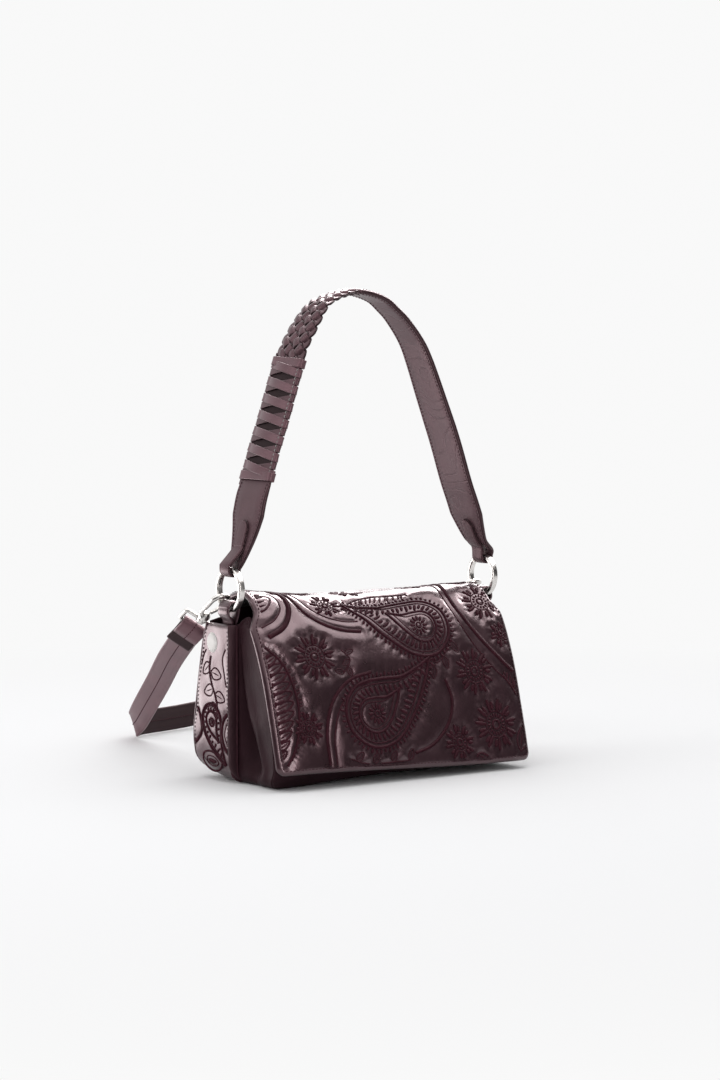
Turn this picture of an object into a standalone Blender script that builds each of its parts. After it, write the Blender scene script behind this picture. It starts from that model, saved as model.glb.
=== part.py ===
"""A small shoulder bag: two leather compartments, a padded flap, a ring-hung handle and a crossbody strap.

The origin is the middle of the base on the surface the bag stands on. X runs to the bag's right,
Y to its back and Z up, so the flap's face looks along -Y. All sizes are in metres.
"""

import math

import bmesh
import bpy
from mathutils import Matrix, Vector

# Clearances and small steps
GAP = 0.0003
OVERRUN = 0.004
WELD = 0.00002

# The two compartments
REAR_WIDTH = 0.235
FRONT_SIDE_STEP = 0.0055
FRONT_WIDTH = REAR_WIDTH - FRONT_SIDE_STEP * 2
WALL_HEIGHT = 0.116
SEAM_Y = 0.006
REAR_DEPTH = 0.052
FRONT_DEPTH = 0.052
CORNER_RADIUS = 0.016
FRONT_CORNER_RADIUS = 0.009
LEATHER = 0.002
SLOPE_ALLOWANCE = 1.30
REAR_LIFT = 0.007
LIFT_HEIGHT = 0.060
LIP = 0.0022
PIPING_RADIUS = 0.0015
BELLOWS_DEPTH = 0.013
ROOT_STEP = 0.010
ROOT_HEIGHT = WALL_HEIGHT + ROOT_STEP
ROOT_SET_IN = 0.0155
ROOT_HALF_WIDTH = REAR_WIDTH / 2 - ROOT_SET_IN
ROOT_NARROWS_OVER = 0.0025

# The outlines of the walls seen from the side, as shares of height and of depth
REAR_SHARES = ((0.0, 0.80), (0.07, 0.92), (0.14, 0.97), (0.28, 1.0), (0.55, 0.91), (0.88, 0.75), (1.0, 0.64))
REAR_ROOT_SHARE = 0.61
FRONT_SHARES = (
    (0.0, 0.90), (0.08, 0.965), (0.15, 0.985), (0.28, 0.955), (0.40, 0.88), (0.70, 0.68), (0.90, 0.48),
    (1.0, 0.36),
)
FOLD_SHARES = ((0.0, 0.72), (0.12, 0.72), (0.36, 0.47), (0.60, 0.28), (0.85, 0.22), (1.0, 0.20))
VALLEY_SHARES = ((0.0, 0.06), (0.12, 0.55), (0.45, 1.0), (0.75, 0.5), (0.93, 0.08), (1.0, 0.08))
BELLOWS_START_SHARE = 0.05
VALLEY_PLACE_SHARE = 0.66

# The linings and the board in the base
LINING = 0.0008
LINING_SIDE_ROOM = 0.0056
LINING_ROOM = 0.0006
LINING_TOP_DROP = 0.0055
FRONT_LINING_SIDE_ROOM = 0.0165
BOARD_THICKNESS = 0.0012
BOARD_SET_IN = 0.0295
BOARD_LENGTH = REAR_WIDTH - BOARD_SET_IN * 2
BOARD_FRONT_Y = 0.011
BOARD_BACK_Y = 0.042

# The rings and the leather loops that hold them
RING_SET_IN = 0.0027
RING_X = REAR_WIDTH / 2 - RING_SET_IN
RING_Y = 0.010
RING_RISE = 0.0255
RING_Z = WALL_HEIGHT + RING_RISE
RING_OUTER_RADIUS = 0.0165
RING_THICKNESS = 0.003
RING_HALF_WIDTH = 0.0025
RING_EDGE = 0.0006
LOOP_WIDTH = 0.014
LOOP_OFFSET = 0.0012
LOOP_LEG_WIDTH = 0.0125
LOOP_THICKNESS = 0.0020
FOLD_SIDE_CLEARANCE = 0.0010
FOLD_CROWN_CLEARANCE = 0.0008
LOOP_LEG_DROP = 0.0195
LOOP_BOTTOM_Z = WALL_HEIGHT - LOOP_LEG_DROP
LOOP_OUTER_LEG_SET_IN = 0.0033
LOOP_LEG_STEP = 0.0030
LOOP_OUTER_LEG_X = REAR_WIDTH / 2 - LOOP_OUTER_LEG_SET_IN
LOOP_INNER_LEG_X = LOOP_OUTER_LEG_X - LOOP_LEG_STEP

# The flap, as shares of its drop and of its reach from the front edge to the back
FLAP_ROOT_Y = 0.0385
FLAP_ROOT_STEP = 0.0120
FLAP_ROOT_Z = WALL_HEIGHT + FLAP_ROOT_STEP
FLAP_TOP_SHARES = ((0.0, 0.0), (0.12, 0.42), (0.34, 0.80), (0.62, 0.98), (0.84, 0.80), (1.0, 0.30))
FLAP_TOP_REACH = 0.0465
FLAP_TOP_RISE = 0.0108
FLAP_RING_ROOM = 0.0093
FLAP_TOP_HALF_WIDTH = RING_X - FLAP_RING_ROOM
FLAP_ROOT_TUCK = 0.0035
FLAP_ROOT_SHARE = 0.25
FLAP_SIDE_STEP = 0.0037
FLAP_HALF_WIDTH = REAR_WIDTH / 2 - FLAP_SIDE_STEP
FLAP_NECK_STEP = 0.0013
FLAP_NECK_HALF_WIDTH = FLAP_TOP_HALF_WIDTH + FLAP_NECK_STEP
FLAP_NECK_SHARE = 0.10
FLAP_FRONT_SHARES = (
    (0.0, 0.0), (0.16, 0.085), (0.37, 0.22), (0.60, 0.43), (0.83, 0.725), (0.97, 0.93), (1.0, 1.0),
)
FLAP_FRONT_REACH = 0.0465
FLAP_OVERHANG = 0.0030
FLAP_FRONT_DROP = WALL_HEIGHT + FLAP_OVERHANG
FLAP_CORNER = 0.0065
FLAP_SKIN = 0.0016
FLAP_PADDING = 0.0014
FLAP_LINING = 0.0008
FLAP_INSET = 0.0025

# The hidden magnets of the flap's closure
MAGNET_RADIUS = 0.008
MAGNET_THICKNESS = 0.0013
MAGNET_HEIGHT = 0.052

# The studs on the sides
STUD_Y = 0.0295
STUD_DROP = 0.0145
STUD_Z = WALL_HEIGHT - STUD_DROP
STUD_RADIUS = 0.0075
STUD_CROWN = 0.0014
STUD_POST_RADIUS = 0.0018
STUD_WASHER_RADIUS = 0.0048
STUD_WASHER = 0.0011

# The zip across the back compartment
ZIP_DROP = 0.0048
ZIP_Z = WALL_HEIGHT - ZIP_DROP
ZIP_SET_IN = 0.0115
ZIP_HALF_LENGTH = REAR_WIDTH / 2 - ZIP_SET_IN
ZIP_TAPE = 0.0008
ZIP_SLOT = 0.0014
ZIP_EDGE_ROOM = 0.0010
TOOTH_REACH = 0.0030
TOOTH_THICKNESS = 0.0024
TOOTH_WIDTH = 0.0017
TOOTH_PITCH = 0.0032
TOOTH_END_ROOM = 0.0067
TOOTH_COUNT = round((ZIP_HALF_LENGTH - TOOTH_END_ROOM) * 2 / TOOTH_PITCH)
TOOTH_RIB = 0.0012
STOP_LENGTH = 0.0035
SLIDER_END_ROOM = 0.0200
SLIDER_REST_X = SLIDER_END_ROOM - ZIP_HALF_LENGTH
SLIDER_LENGTH = 0.0095
SLIDER_WIDTH = 0.0100
SLIDER_PLATE = 0.0011
SLIDER_WEB = 0.0007
BAIL_OPENING = 0.0023
BAIL_BAR = 0.0010
BAIL_SPAN = 0.0040
BAIL_WIDTH = 0.0016
PULLER_LENGTH = 0.0165
PULLER_WIDTH = 0.0062
PULLER_THICKNESS = 0.0011
PULLER_HOLE = 0.0040

# The handle: its middle line as shares of the half span between rings and of its rise above them
HANDLE_RISE = 0.2155
HANDLE_THICKNESS = 0.0036
HANDLE_WIDTH = 0.039
HANDLE_TAB_WIDTH = 0.0125
HANDLE_TAB_THICKNESS = 0.0022
HANDLE_TAPER = 0.040
HANDLE_SHARES = (
    (-0.919, 0.131), (-0.882, 0.198), (-0.842, 0.298), (-0.800, 0.365), (-0.743, 0.465), (-0.674, 0.566),
    (-0.590, 0.701), (-0.521, 0.802), (-0.448, 0.870), (-0.359, 0.938), (-0.292, 0.967), (-0.174, 0.991),
    (-0.043, 1.0), (0.126, 0.977), (0.226, 0.939), (0.299, 0.904), (0.403, 0.835), (0.472, 0.765),
    (0.578, 0.625), (0.682, 0.484), (0.774, 0.341), (0.828, 0.269), (0.880, 0.198), (0.935, 0.134),
    (0.975, 0.112), (1.030, 0.090),
)
HANDLE_LEFT_WIDTH_SHARES = ((0.0, 1.0), (0.42, 1.0), (0.47, 0.93), (1.0, 0.93))
HANDLE_RIGHT_WIDTH_SHARES = (
    (0.0, 1.0), (0.45, 0.97), (0.56, 0.92), (0.66, 0.86), (0.75, 0.78), (0.85, 0.70), (1.0, 0.65),
)
BRAID_WIDTH_SHARES = ((0.0, 1.0), (0.38, 1.0), (0.62, 0.82), (0.8, 0.64), (1.0, 0.54))
TONGUE_LENGTH = 0.036
TONGUE_RISE = 0.0030
LACING_START = 0.0685
LACING_LENGTH = 0.0895
LACING_THICKNESS = 0.0013
LACING_TUCK = 0.008
BRAID_LENGTH = 0.0825
BRAID_WIDTH = 0.036
BRAID_THICKNESS = 0.0056

# The snap hooks between the rings and the crossbody strap
HOOK_ANGLE = math.radians(122)
HOOK_WIRE_RADIUS = 0.0018
HOOK_HALF_WIDTH = 0.0063
HOOK_NOSE = 0.01665
HOOK_SHANK = 0.0175
HOOK_TIP = 0.0010
HOOK_COLLAR_START = 0.0395
HOOK_COLLAR_LENGTH = 0.0045
HOOK_COLLAR_RADIUS = 0.0045
HOOK_PIN_RADIUS = 0.0015
HOOK_PIN_LENGTH = 0.0052
HOOK_HEAD_RADIUS = 0.0026
HOOK_HEAD_LENGTH = 0.0012
HOOK_BORE_CLEARANCE = 0.0003
GATE_RADIUS = 0.0014
GATE_THUMB_RADIUS = 0.0023
GATE_BEND_SHARE = 0.45
SWIVEL_TURN = math.radians(42)
SWIVEL_BOSS_RADIUS = 0.0036
SWIVEL_WIRE_RADIUS = 0.0015
SWIVEL_INNER_WIDTH = 0.0225
SWIVEL_DEPTH = 0.0125

# The crossbody strap: its middle line, from the left hook over the floor behind the bag to the right hook,
# as shares of the ring's place across, of the strap's reach behind the bag and of the ring's height
STRAP_WIDTH = 0.020
STRAP_THICKNESS = 0.0022
STRAP_STITCHED_LENGTH = 0.026
STRAP_LAYER_STEP = 0.0027
STRAP_STRAIGHT = 0.010
STRAP_REACH = 0.290
STRAP_ROUTE_SHARES = (
    (-0.9713, 0.2793, 0.6961), (-0.8493, 0.4241, 0.5583), (-0.7012, 0.5793, 0.3993), (-0.5706, 0.7310, 0.2367),
    (-0.4791, 0.8345, 0.1272), (-0.4268, 0.8862, 0.0806), (-0.3049, 0.9172, 0.0792), (0.0436, 0.9621, 0.0792),
    (0.4791, 1.0000, 0.0947), (0.8711, 0.9966, 0.0947), (1.1760, 0.9172, 0.0989), (1.2979, 0.7931, 0.2049),
    (1.2892, 0.6483, 0.3534), (1.2108, 0.4828, 0.5230), (1.0889, 0.3276, 0.6749),
)
STRAP_ACROSS = (
    (0.70, -0.46, -0.55), (0.69, -0.50, -0.53), (0.66, -0.50, -0.56), (0.60, -0.46, -0.65), (0.45, -0.38, -0.80),
    (0.15, -0.20, -0.97), (0.0, 0.0, -1.0), (0.0, 0.0, -1.0), (0.0, 0.0, -1.0), (0.0, 0.0, -1.0),
    (-0.02, -0.22, -0.97), (-0.20, -0.40, -0.89), (-0.45, -0.46, -0.77), (-0.62, -0.42, -0.66), (-0.70, -0.38, -0.60),
)
BUCKLE_ROUTE_SHARE = 0.575
BUCKLE_LENGTH = 0.017
BUCKLE_BAR = 0.0024
BUCKLE_RAIL = 0.0024

COLLECTION = "ShoulderBag"
LEATHER_COLOUR = (0.045, 0.021, 0.027)
STRAP_COLOUR = (0.085, 0.052, 0.060)
LINING_COLOUR = (0.012, 0.011, 0.012)
METAL_COLOUR = (0.62, 0.61, 0.59)
BOARD_COLOUR = (0.10, 0.085, 0.07)


def clear_scene():
    for thing in list(bpy.data.objects):
        bpy.data.objects.remove(thing, do_unlink=True)


def new_collection(name):
    made = bpy.data.collections.new(name)
    bpy.context.scene.collection.children.link(made)
    return made


def material(name, colour, roughness, metallic=0.0):
    made = bpy.data.materials.new(name)
    made.use_nodes = True
    shader = made.node_tree.nodes["Principled BSDF"]
    shader.inputs["Base Color"].default_value = (*colour, 1.0)
    shader.inputs["Roughness"].default_value = roughness
    shader.inputs["Metallic"].default_value = metallic
    made.diffuse_color = (*colour, 1.0)
    return made


def leather(name):
    return material(name, LEATHER_COLOUR, 0.28)


def strap_leather(name):
    return material(name, STRAP_COLOUR, 0.42)


def lining_cloth(name):
    return material(name, LINING_COLOUR, 0.85)


def nickel(name):
    return material(name, METAL_COLOUR, 0.22, 1.0)


# Tables of shares read as smooth curves
def lerp(a, b, t):
    return a + (b - a) * t


def clamp(value):
    return min(1.0, max(0.0, value))


def hermite(p0, p1, p2, p3, t):
    """A point between p1 and p2 on the smooth curve through four points."""
    return (
        p1
        + (p2 - p0) * (0.5 * t)
        + (p0 * 2 - p1 * 5 + p2 * 4 - p3) * (0.5 * t * t)
        + (p1 * 3 - p2 * 3 + p3 - p0) * (0.5 * t * t * t)
    )


def spline(points, steps):
    """A smooth line through all the points, with this many steps between each two."""
    ends = [points[0] * 2 - points[1], *points, points[-1] * 2 - points[-2]]
    line = []
    for i in range(len(points) - 1):
        for k in range(steps):
            line.append(hermite(*ends[i:i + 4], k / steps))
    return [*line, points[-1]]


def table(shares, at):
    """The second column of a table of shares, eased between its rows."""
    if at <= shares[0][0]:
        return shares[0][1]
    for (a, low), (b, high) in zip(shares, shares[1:]):
        if at <= b:
            return lerp(low, high, (at - a) / (b - a))
    return shares[-1][1]


def resampled(points, count):
    """The line through the points as this many points at equal steps along it."""
    lengths = [0.0]
    for a, b in zip(points, points[1:]):
        lengths.append(lengths[-1] + (b - a).length)
    made = []
    for k in range(count):
        target = lengths[-1] * k / (count - 1)
        i = max(j for j in range(len(points) - 1) if lengths[j] <= target)
        made.append(points[i].lerp(points[i + 1], (target - lengths[i]) / (lengths[i + 1] - lengths[i])))
    return made


def length_of(points):
    return sum((b - a).length for a, b in zip(points, points[1:]))


def cut(points, start, end):
    """The stretch of a line between two distances along it."""
    made = []
    run = 0.0
    for a, b in zip(points, points[1:]):
        step = (b - a).length
        if run + step > start and not made:
            made.append(a.lerp(b, max(0.0, (start - run) / step)))
        if made and run + step >= end:
            made.append(a.lerp(b, (end - run) / step))
            return made
        if made:
            made.append(b.copy())
        run += step
    return made


# Meshes
def add_object(name, mesh, paint, collection):
    made = bpy.data.objects.new(name, mesh)
    collection.objects.link(made)
    mesh.materials.append(paint)
    return made


def grid_mesh(name, rows, closed=False, floor=False):
    """An open surface through rows of points; closed joins each row's ends, floor caps the first row."""
    mesh = bpy.data.meshes.new(name)
    bm = bmesh.new()
    grid = [[bm.verts.new(point) for point in row] for row in rows]
    last = len(grid[0]) if closed else len(grid[0]) - 1
    for lower, upper in zip(grid, grid[1:]):
        for j in range(last):
            k = (j + 1) % len(lower)
            bm.faces.new((lower[j], upper[j], upper[k], lower[k]))
    if floor:
        bm.faces.new(grid[0])
    bm.to_mesh(mesh)
    bm.free()
    return mesh


def sheet(name, rows, thickness, side, paint, closed=False, floor=False):
    """A leather or cloth sheet: an open surface made solid on one side of itself."""
    made = add_object(name, grid_mesh(name, rows, closed, floor), paint, BAG)
    solid = made.modifiers.new("Thickness", "SOLIDIFY")
    solid.thickness = thickness
    solid.offset = side
    solid.use_even_offset = True
    made.data.shade_smooth()
    return made


def sweep(name, frames, paint):
    """A flat band lofted through frames of (middle, across, through, half width, half thickness)."""
    mesh = bpy.data.meshes.new(name)
    bm = bmesh.new()
    rings = []
    for middle, across, through, half_width, half_thickness in frames:
        corners = ((-1, -1), (1, -1), (1, 1), (-1, 1))
        spots = [middle + across * (a * half_width) + through * (b * half_thickness) for a, b in corners]
        ring = [bm.verts.new(spot) for spot in spots]
        rings.append(ring)
    for one, two in zip(rings, rings[1:]):
        for j in range(len(one)):
            k = (j + 1) % len(one)
            bm.faces.new((one[j], two[j], two[k], one[k]))
    bm.faces.new(rings[0])
    bm.faces.new(reversed(rings[-1]))
    bmesh.ops.recalc_face_normals(bm, faces=bm.faces[:])
    bm.to_mesh(mesh)
    bm.free()
    return add_object(name, mesh, paint, BAG)


def frames_along(points, across, half_width, half_thickness):
    """Frames for a band along a line; across and half_width are given for a share of the length."""
    total = length_of(points)
    run = 0.0
    frames = []
    for i, point in enumerate(points):
        if i:
            run += (point - points[i - 1]).length
        before = points[max(0, i - 1)]
        after = points[min(len(points) - 1, i + 1)]
        along = (after - before).normalized()
        side = across(run / total).normalized()
        side = (side - along * side.dot(along)).normalized()
        frames.append((point, side, along.cross(side), half_width(run, total), half_thickness))
    return frames


def tube(name, points, radius, paint, collection, sides=2):
    """A wire through the points, as a mesh with welded caps."""
    curve = bpy.data.curves.new(name, "CURVE")
    curve.dimensions = "3D"
    curve.bevel_depth = radius
    curve.bevel_resolution = sides
    curve.use_fill_caps = True
    line = curve.splines.new("POLY")
    line.points.add(len(points) - 1)
    for spot, point in zip(line.points, points):
        spot.co = (*point, 1.0)
    wire = bpy.data.objects.new(name, curve)
    collection.objects.link(wire)
    bpy.context.view_layer.update()
    graph = bpy.context.evaluated_depsgraph_get()
    mesh = bpy.data.meshes.new_from_object(wire.evaluated_get(graph))
    bpy.data.objects.remove(wire, do_unlink=True)
    bm = bmesh.new()
    bm.from_mesh(mesh)
    bmesh.ops.remove_doubles(bm, verts=bm.verts[:], dist=radius / 100)
    bmesh.ops.recalc_face_normals(bm, faces=bm.faces[:])
    bm.to_mesh(mesh)
    bm.free()
    mesh.name = name
    mesh.materials.clear()
    mesh.shade_smooth()
    return add_object(name, mesh, paint, collection)


def closed_tube(name, points, radius, paint, collection, sides=2):
    """A wire bent into a closed frame."""
    curve = bpy.data.curves.new(name, "CURVE")
    curve.dimensions = "3D"
    curve.bevel_depth = radius
    curve.bevel_resolution = sides
    line = curve.splines.new("POLY")
    line.use_cyclic_u = True
    line.points.add(len(points) - 1)
    for spot, point in zip(line.points, points):
        spot.co = (*point, 1.0)
    wire = bpy.data.objects.new(name, curve)
    collection.objects.link(wire)
    bpy.context.view_layer.update()
    graph = bpy.context.evaluated_depsgraph_get()
    mesh = bpy.data.meshes.new_from_object(wire.evaluated_get(graph))
    bpy.data.objects.remove(wire, do_unlink=True)
    mesh.name = name
    mesh.materials.clear()
    mesh.shade_smooth()
    return add_object(name, mesh, paint, collection)


def turned(name, profile, place, paint, collection, steps=24):
    """A piece turned about its own Z axis from a profile of (radius, height), top to bottom."""
    mesh = bpy.data.meshes.new(name)
    mesh.from_pydata([(r, 0.0, z) for r, z in profile], [(i, i + 1) for i in range(len(profile) - 1)], [])
    made = add_object(name, mesh, paint, collection)
    made.matrix_world = place
    screw = made.modifiers.new("Turn", "SCREW")
    screw.steps = steps
    screw.render_steps = steps
    screw.use_merge_vertices = True
    screw.merge_threshold = WELD
    return made


def block(name, low, high, paint, collection):
    """A box between two corners."""
    mesh = bpy.data.meshes.new(name)
    bm = bmesh.new()
    bmesh.ops.create_cube(bm, size=1.0)
    low = Vector(low)
    size = Vector(high) - low
    for vert in bm.verts:
        share = vert.co + Vector((0.5, 0.5, 0.5))
        vert.co = Vector((low[i] + size[i] * share[i] for i in range(3)))
    bm.to_mesh(mesh)
    bm.free()
    return add_object(name, mesh, paint, collection)


def hidden(thing):
    """Marks a cutter, or a shape that a Boolean joins to another."""
    thing.hide_render = True
    thing.display_type = "WIRE"
    return thing


def boolean(target, operation, other):
    change = target.modifiers.new(operation.title(), "BOOLEAN")
    change.operation = operation
    change.solver = "EXACT"
    change.object = hidden(other)


def facing(place, direction):
    """A matrix at a place whose Z axis looks along a direction."""
    return Matrix.Translation(place) @ Vector(direction).to_track_quat("Z", "Y").to_matrix().to_4x4()


# The walls' outlines
def rear_y(z):
    share = z / WALL_HEIGHT
    if share > 1.0:
        over = (z - WALL_HEIGHT) / (ROOT_HEIGHT - WALL_HEIGHT)
        return SEAM_Y + REAR_DEPTH * lerp(REAR_SHARES[-1][1], REAR_ROOT_SHARE, over)
    return SEAM_Y + REAR_DEPTH * table(REAR_SHARES, share)


def front_y(z):
    return SEAM_Y - FRONT_DEPTH * table(FRONT_SHARES, z / WALL_HEIGHT)


def half_at(z, half_width, corner):
    """Half the width of an outline with rounded lower corners, at a height above its base."""
    if z >= corner:
        return half_width
    return half_width - corner + math.sqrt(max(0.0, corner ** 2 - (corner - z) ** 2))


def lifted(point):
    """The back of the base curves up a little from the surface that the bag stands on."""
    reach = clamp((point[1] - SEAM_Y) / REAR_DEPTH - 0.25) / 0.75
    rise = REAR_LIFT * reach ** 1.5 * clamp(1.0 - point[2] / LIFT_HEIGHT)
    return Vector((point[0], point[1], point[2] + rise))


def u_line(half_width, top, corner, base):
    """A line down the left side, along the base and up the right side: (x, z, nearness to the side walls)."""
    side_shares = (1.0, 0.93, 0.85, 0.72, 0.58, 0.45, 0.33, 0.22, 0.12, 0.0)
    left = [(-half_width, lerp(base + corner, top, share), 1.0) for share in side_shares]
    turns = (0.2, 0.4, 0.6, 0.8, 1.0)
    for share in turns:
        angle = share * math.pi / 2
        x = -half_width + corner - corner * math.cos(angle)
        left.append((x, base + corner - corner * math.sin(angle), 1.0 - share))
    right = [(-x, z, near) for x, z, near in reversed(left)]
    middle = [(x * (half_width - corner), base, 0.0) for x in (-0.6, -0.2, 0.2, 0.6)]
    return left + middle + right


def panel_rows(y_at, half_width, corner, base, top, columns, row_shares):
    """Rows of points over an upright panel with rounded lower corners."""
    rows = []
    for share in row_shares:
        z = lerp(base, top, share)
        half = half_at(z - base, half_width, corner)
        rows.append([lifted((lerp(-half, half, i / columns), y_at(z), z)) for i in range(columns + 1)])
    return rows


PANEL_ROW_SHARES = (0.0, 0.012, 0.03, 0.06, 0.10, 0.14, 0.22, 0.34, 0.46, 0.58, 0.70, 0.80, 0.90, 1.0)


# The back compartment
def make_rear_gusset():
    rows = []
    steps = 6
    for x, z, _ in u_line(REAR_WIDTH / 2, WALL_HEIGHT, CORNER_RADIUS, 0.0):
        start = SEAM_Y + LEATHER / 2 + GAP
        end = rear_y(z) - PIPING_RADIUS * 2 - GAP
        rows.append([lifted((x, lerp(start, end, j / steps), z)) for j in range(steps + 1)])
    made = sheet("rear_gusset", rows, LEATHER, 1, leather("rear_gusset_leather"))
    for side in (-1, 1):
        bore = STUD_POST_RADIUS + GAP
        hole = turned(
            "stud_hole_" + ("left" if side < 0 else "right"),
            [(0.0, OVERRUN), (bore, OVERRUN), (bore, -OVERRUN), (0.0, -OVERRUN)],
            facing((side * REAR_WIDTH / 2, STUD_Y, STUD_Z), (side, 0, 0)),
            leather("cutter"),
            CUTTERS,
        )
        boolean(made, "DIFFERENCE", hole)
    return made


def make_rear_panel():
    inset = PIPING_RADIUS * 2 + GAP
    half = REAR_WIDTH / 2 - inset
    rows = panel_rows(rear_y, half, CORNER_RADIUS - inset, inset, WALL_HEIGHT, 12, PANEL_ROW_SHARES)
    for share in (0.25, 0.6, 1.0):
        z = lerp(WALL_HEIGHT, ROOT_HEIGHT, share)
        wide = lerp(half, ROOT_HALF_WIDTH, clamp((z - WALL_HEIGHT) / ROOT_NARROWS_OVER))
        rows.append([Vector((lerp(-wide, wide, i / 12), rear_y(z), z)) for i in range(13)])
    sheet("rear_panel", rows, LEATHER, -1, leather("rear_panel_leather"))


def make_rear_piping():
    """The corded seam round the back panel."""
    points = []
    inset = PIPING_RADIUS
    for x, z, _ in u_line(REAR_WIDTH / 2 - inset, WALL_HEIGHT, CORNER_RADIUS - inset, inset):
        points.append(lifted((x, rear_y(z) - inset, z)))
    tube("rear_piping", points, PIPING_RADIUS, leather("piping_leather"), BAG, 1)


def make_divider():
    """The panel between the compartments; its edges stand out at the sides as the seam's lips."""
    half = REAR_WIDTH / 2
    rows = []
    for share in PANEL_ROW_SHARES:
        z = lerp(0.0, WALL_HEIGHT, share)
        width = half_at(z, half, CORNER_RADIUS) + LIP * clamp(z / CORNER_RADIUS)
        rows.append([(lerp(-width, width, i / 12), SEAM_Y, z) for i in range(13)])
    sheet("divider_panel", rows, LEATHER, 0, leather("divider_leather"))


def pouch_rings(front, back, half_width, corner, base, top, heights):
    """Rings of points round a lining, from its floor up."""
    rings = []
    across = 10
    through = 3
    for share in heights:
        z = lerp(base, top, share)
        half = half_at(z - base, half_width, corner)
        y0 = front(z)
        y1 = back(z)
        ring = [lifted((lerp(-half, half, i / across), y0, z)) for i in range(across)]
        ring += [lifted((half, lerp(y0, y1, i / through), z)) for i in range(through)]
        ring += [lifted((lerp(half, -half, i / across), y1, z)) for i in range(across)]
        ring += [lifted((-half, lerp(y1, y0, i / through), z)) for i in range(through)]
        rings.append(ring)
    return rings


POUCH_ROW_SHARES = (0.0, 0.03, 0.07, 0.12, 0.22, 0.36, 0.52, 0.68, 0.84, 1.0)


def make_linings():
    room = LEATHER + LINING_ROOM
    board = BOARD_THICKNESS + GAP * 2
    rings = pouch_rings(
        lambda z: SEAM_Y + LEATHER / 2 + LINING_ROOM,
        lambda z: rear_y(z) - LEATHER * SLOPE_ALLOWANCE - LINING_ROOM,
        REAR_WIDTH / 2 - LEATHER - LINING_SIDE_ROOM,
        CORNER_RADIUS,
        room + board,
        WALL_HEIGHT - LINING_TOP_DROP,
        POUCH_ROW_SHARES,
    )
    sheet("rear_lining", rings, LINING, 1, lining_cloth("rear_lining_cloth"), closed=True, floor=True)
    rings = pouch_rings(
        lambda z: front_y(z) + LEATHER * SLOPE_ALLOWANCE + LINING_ROOM + MAGNET_THICKNESS + GAP * 2,
        lambda z: SEAM_Y - LEATHER / 2 - LINING_ROOM,
        FRONT_WIDTH / 2 - FRONT_LINING_SIDE_ROOM,
        CORNER_RADIUS,
        room,
        WALL_HEIGHT - LINING_TOP_DROP,
        POUCH_ROW_SHARES,
    )
    sheet("front_lining", rings, LINING, 1, lining_cloth("front_lining_cloth"), closed=True, floor=True)


def make_base_board():
    rows = []
    for j in range(7):
        y = lerp(BOARD_FRONT_Y, BOARD_BACK_Y, j / 6)
        row = [lifted((lerp(-BOARD_LENGTH / 2, BOARD_LENGTH / 2, i / 8), y, LEATHER + GAP)) for i in range(9)]
        rows.append(row)
    sheet("base_board", rows, BOARD_THICKNESS, -1, material("board", BOARD_COLOUR, 0.8))


# The front compartment
def bellows_inset(t, z, near):
    """How far the front gusset is folded in, at a share t of its way from the seam to the front."""
    fold = table(FOLD_SHARES, z / WALL_HEIGHT)
    valley = fold * VALLEY_PLACE_SHARE
    depth = BELLOWS_DEPTH * table(VALLEY_SHARES, z / WALL_HEIGHT) * near
    if t < valley:
        return depth * clamp((t - BELLOWS_START_SHARE) / (valley - BELLOWS_START_SHARE))
    return depth * clamp(1.0 - (t - valley) / (fold - valley))


def make_front_gusset():
    rows = []
    for x, z, near in u_line(FRONT_WIDTH / 2, WALL_HEIGHT, FRONT_CORNER_RADIUS, 0.0):
        start = SEAM_Y - LEATHER / 2 - GAP
        end = front_y(z) + LEATHER * SLOPE_ALLOWANCE + GAP
        fold = table(FOLD_SHARES, z / WALL_HEIGHT)
        valley = fold * VALLEY_PLACE_SHARE
        stops = [0.0, BELLOWS_START_SHARE, lerp(BELLOWS_START_SHARE, valley, 0.5), valley]
        stops += [lerp(valley, fold, 0.5), fold, lerp(fold, 1.0, 0.35), lerp(fold, 1.0, 0.7), 1.0]
        row = []
        for t in stops:
            inset = bellows_inset(t, z, near)
            row.append(Vector((x - math.copysign(inset, x), lerp(start, end, t), z)))
        rows.append(row)
    sheet("front_gusset", rows, LEATHER, -1, leather("front_gusset_leather"))


def make_front_panel():
    rows = panel_rows(
        front_y, FRONT_WIDTH / 2, FRONT_CORNER_RADIUS, 0.0, WALL_HEIGHT, 12, PANEL_ROW_SHARES
    )
    sheet("front_panel", rows, LEATHER, 1, leather("front_panel_leather"))


# The flap
def flap_top_line():
    points = []
    for along, rise in FLAP_TOP_SHARES:
        points.append(Vector((FLAP_ROOT_Y - along * FLAP_TOP_REACH, FLAP_ROOT_Z + rise * FLAP_TOP_RISE, 0.0)))
    return resampled(spline(points, 6), 11)


def flap_crease():
    end = flap_top_line()[-1]
    return end[0], end[1]


def flap_front_line():
    y, z = flap_crease()
    points = []
    for along, drop in FLAP_FRONT_SHARES:
        points.append(Vector((y - along * FLAP_FRONT_REACH, z - drop * FLAP_FRONT_DROP, 0.0)))
    return resampled(spline(points, 6), 17)


def offset_line(line, distance):
    """The line moved towards the bag by a distance, square to itself."""
    made = []
    for i, point in enumerate(line):
        along = (line[min(i + 1, len(line) - 1)] - line[max(i - 1, 0)]).normalized()
        made.append(point + Vector((-along[1], along[0], 0.0)) * distance)
    return made


def flap_half(share, drop_left, inset):
    """Half the flap's width: drawn in at the crease, full below it, with rounded lower corners."""
    half = lerp(FLAP_NECK_HALF_WIDTH, FLAP_HALF_WIDTH, clamp(share / FLAP_NECK_SHARE)) - inset
    corner = FLAP_CORNER - inset
    below = drop_left - inset
    if below < corner:
        half -= corner - math.sqrt(max(0.0, corner ** 2 - (corner - below) ** 2))
    return half


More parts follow.
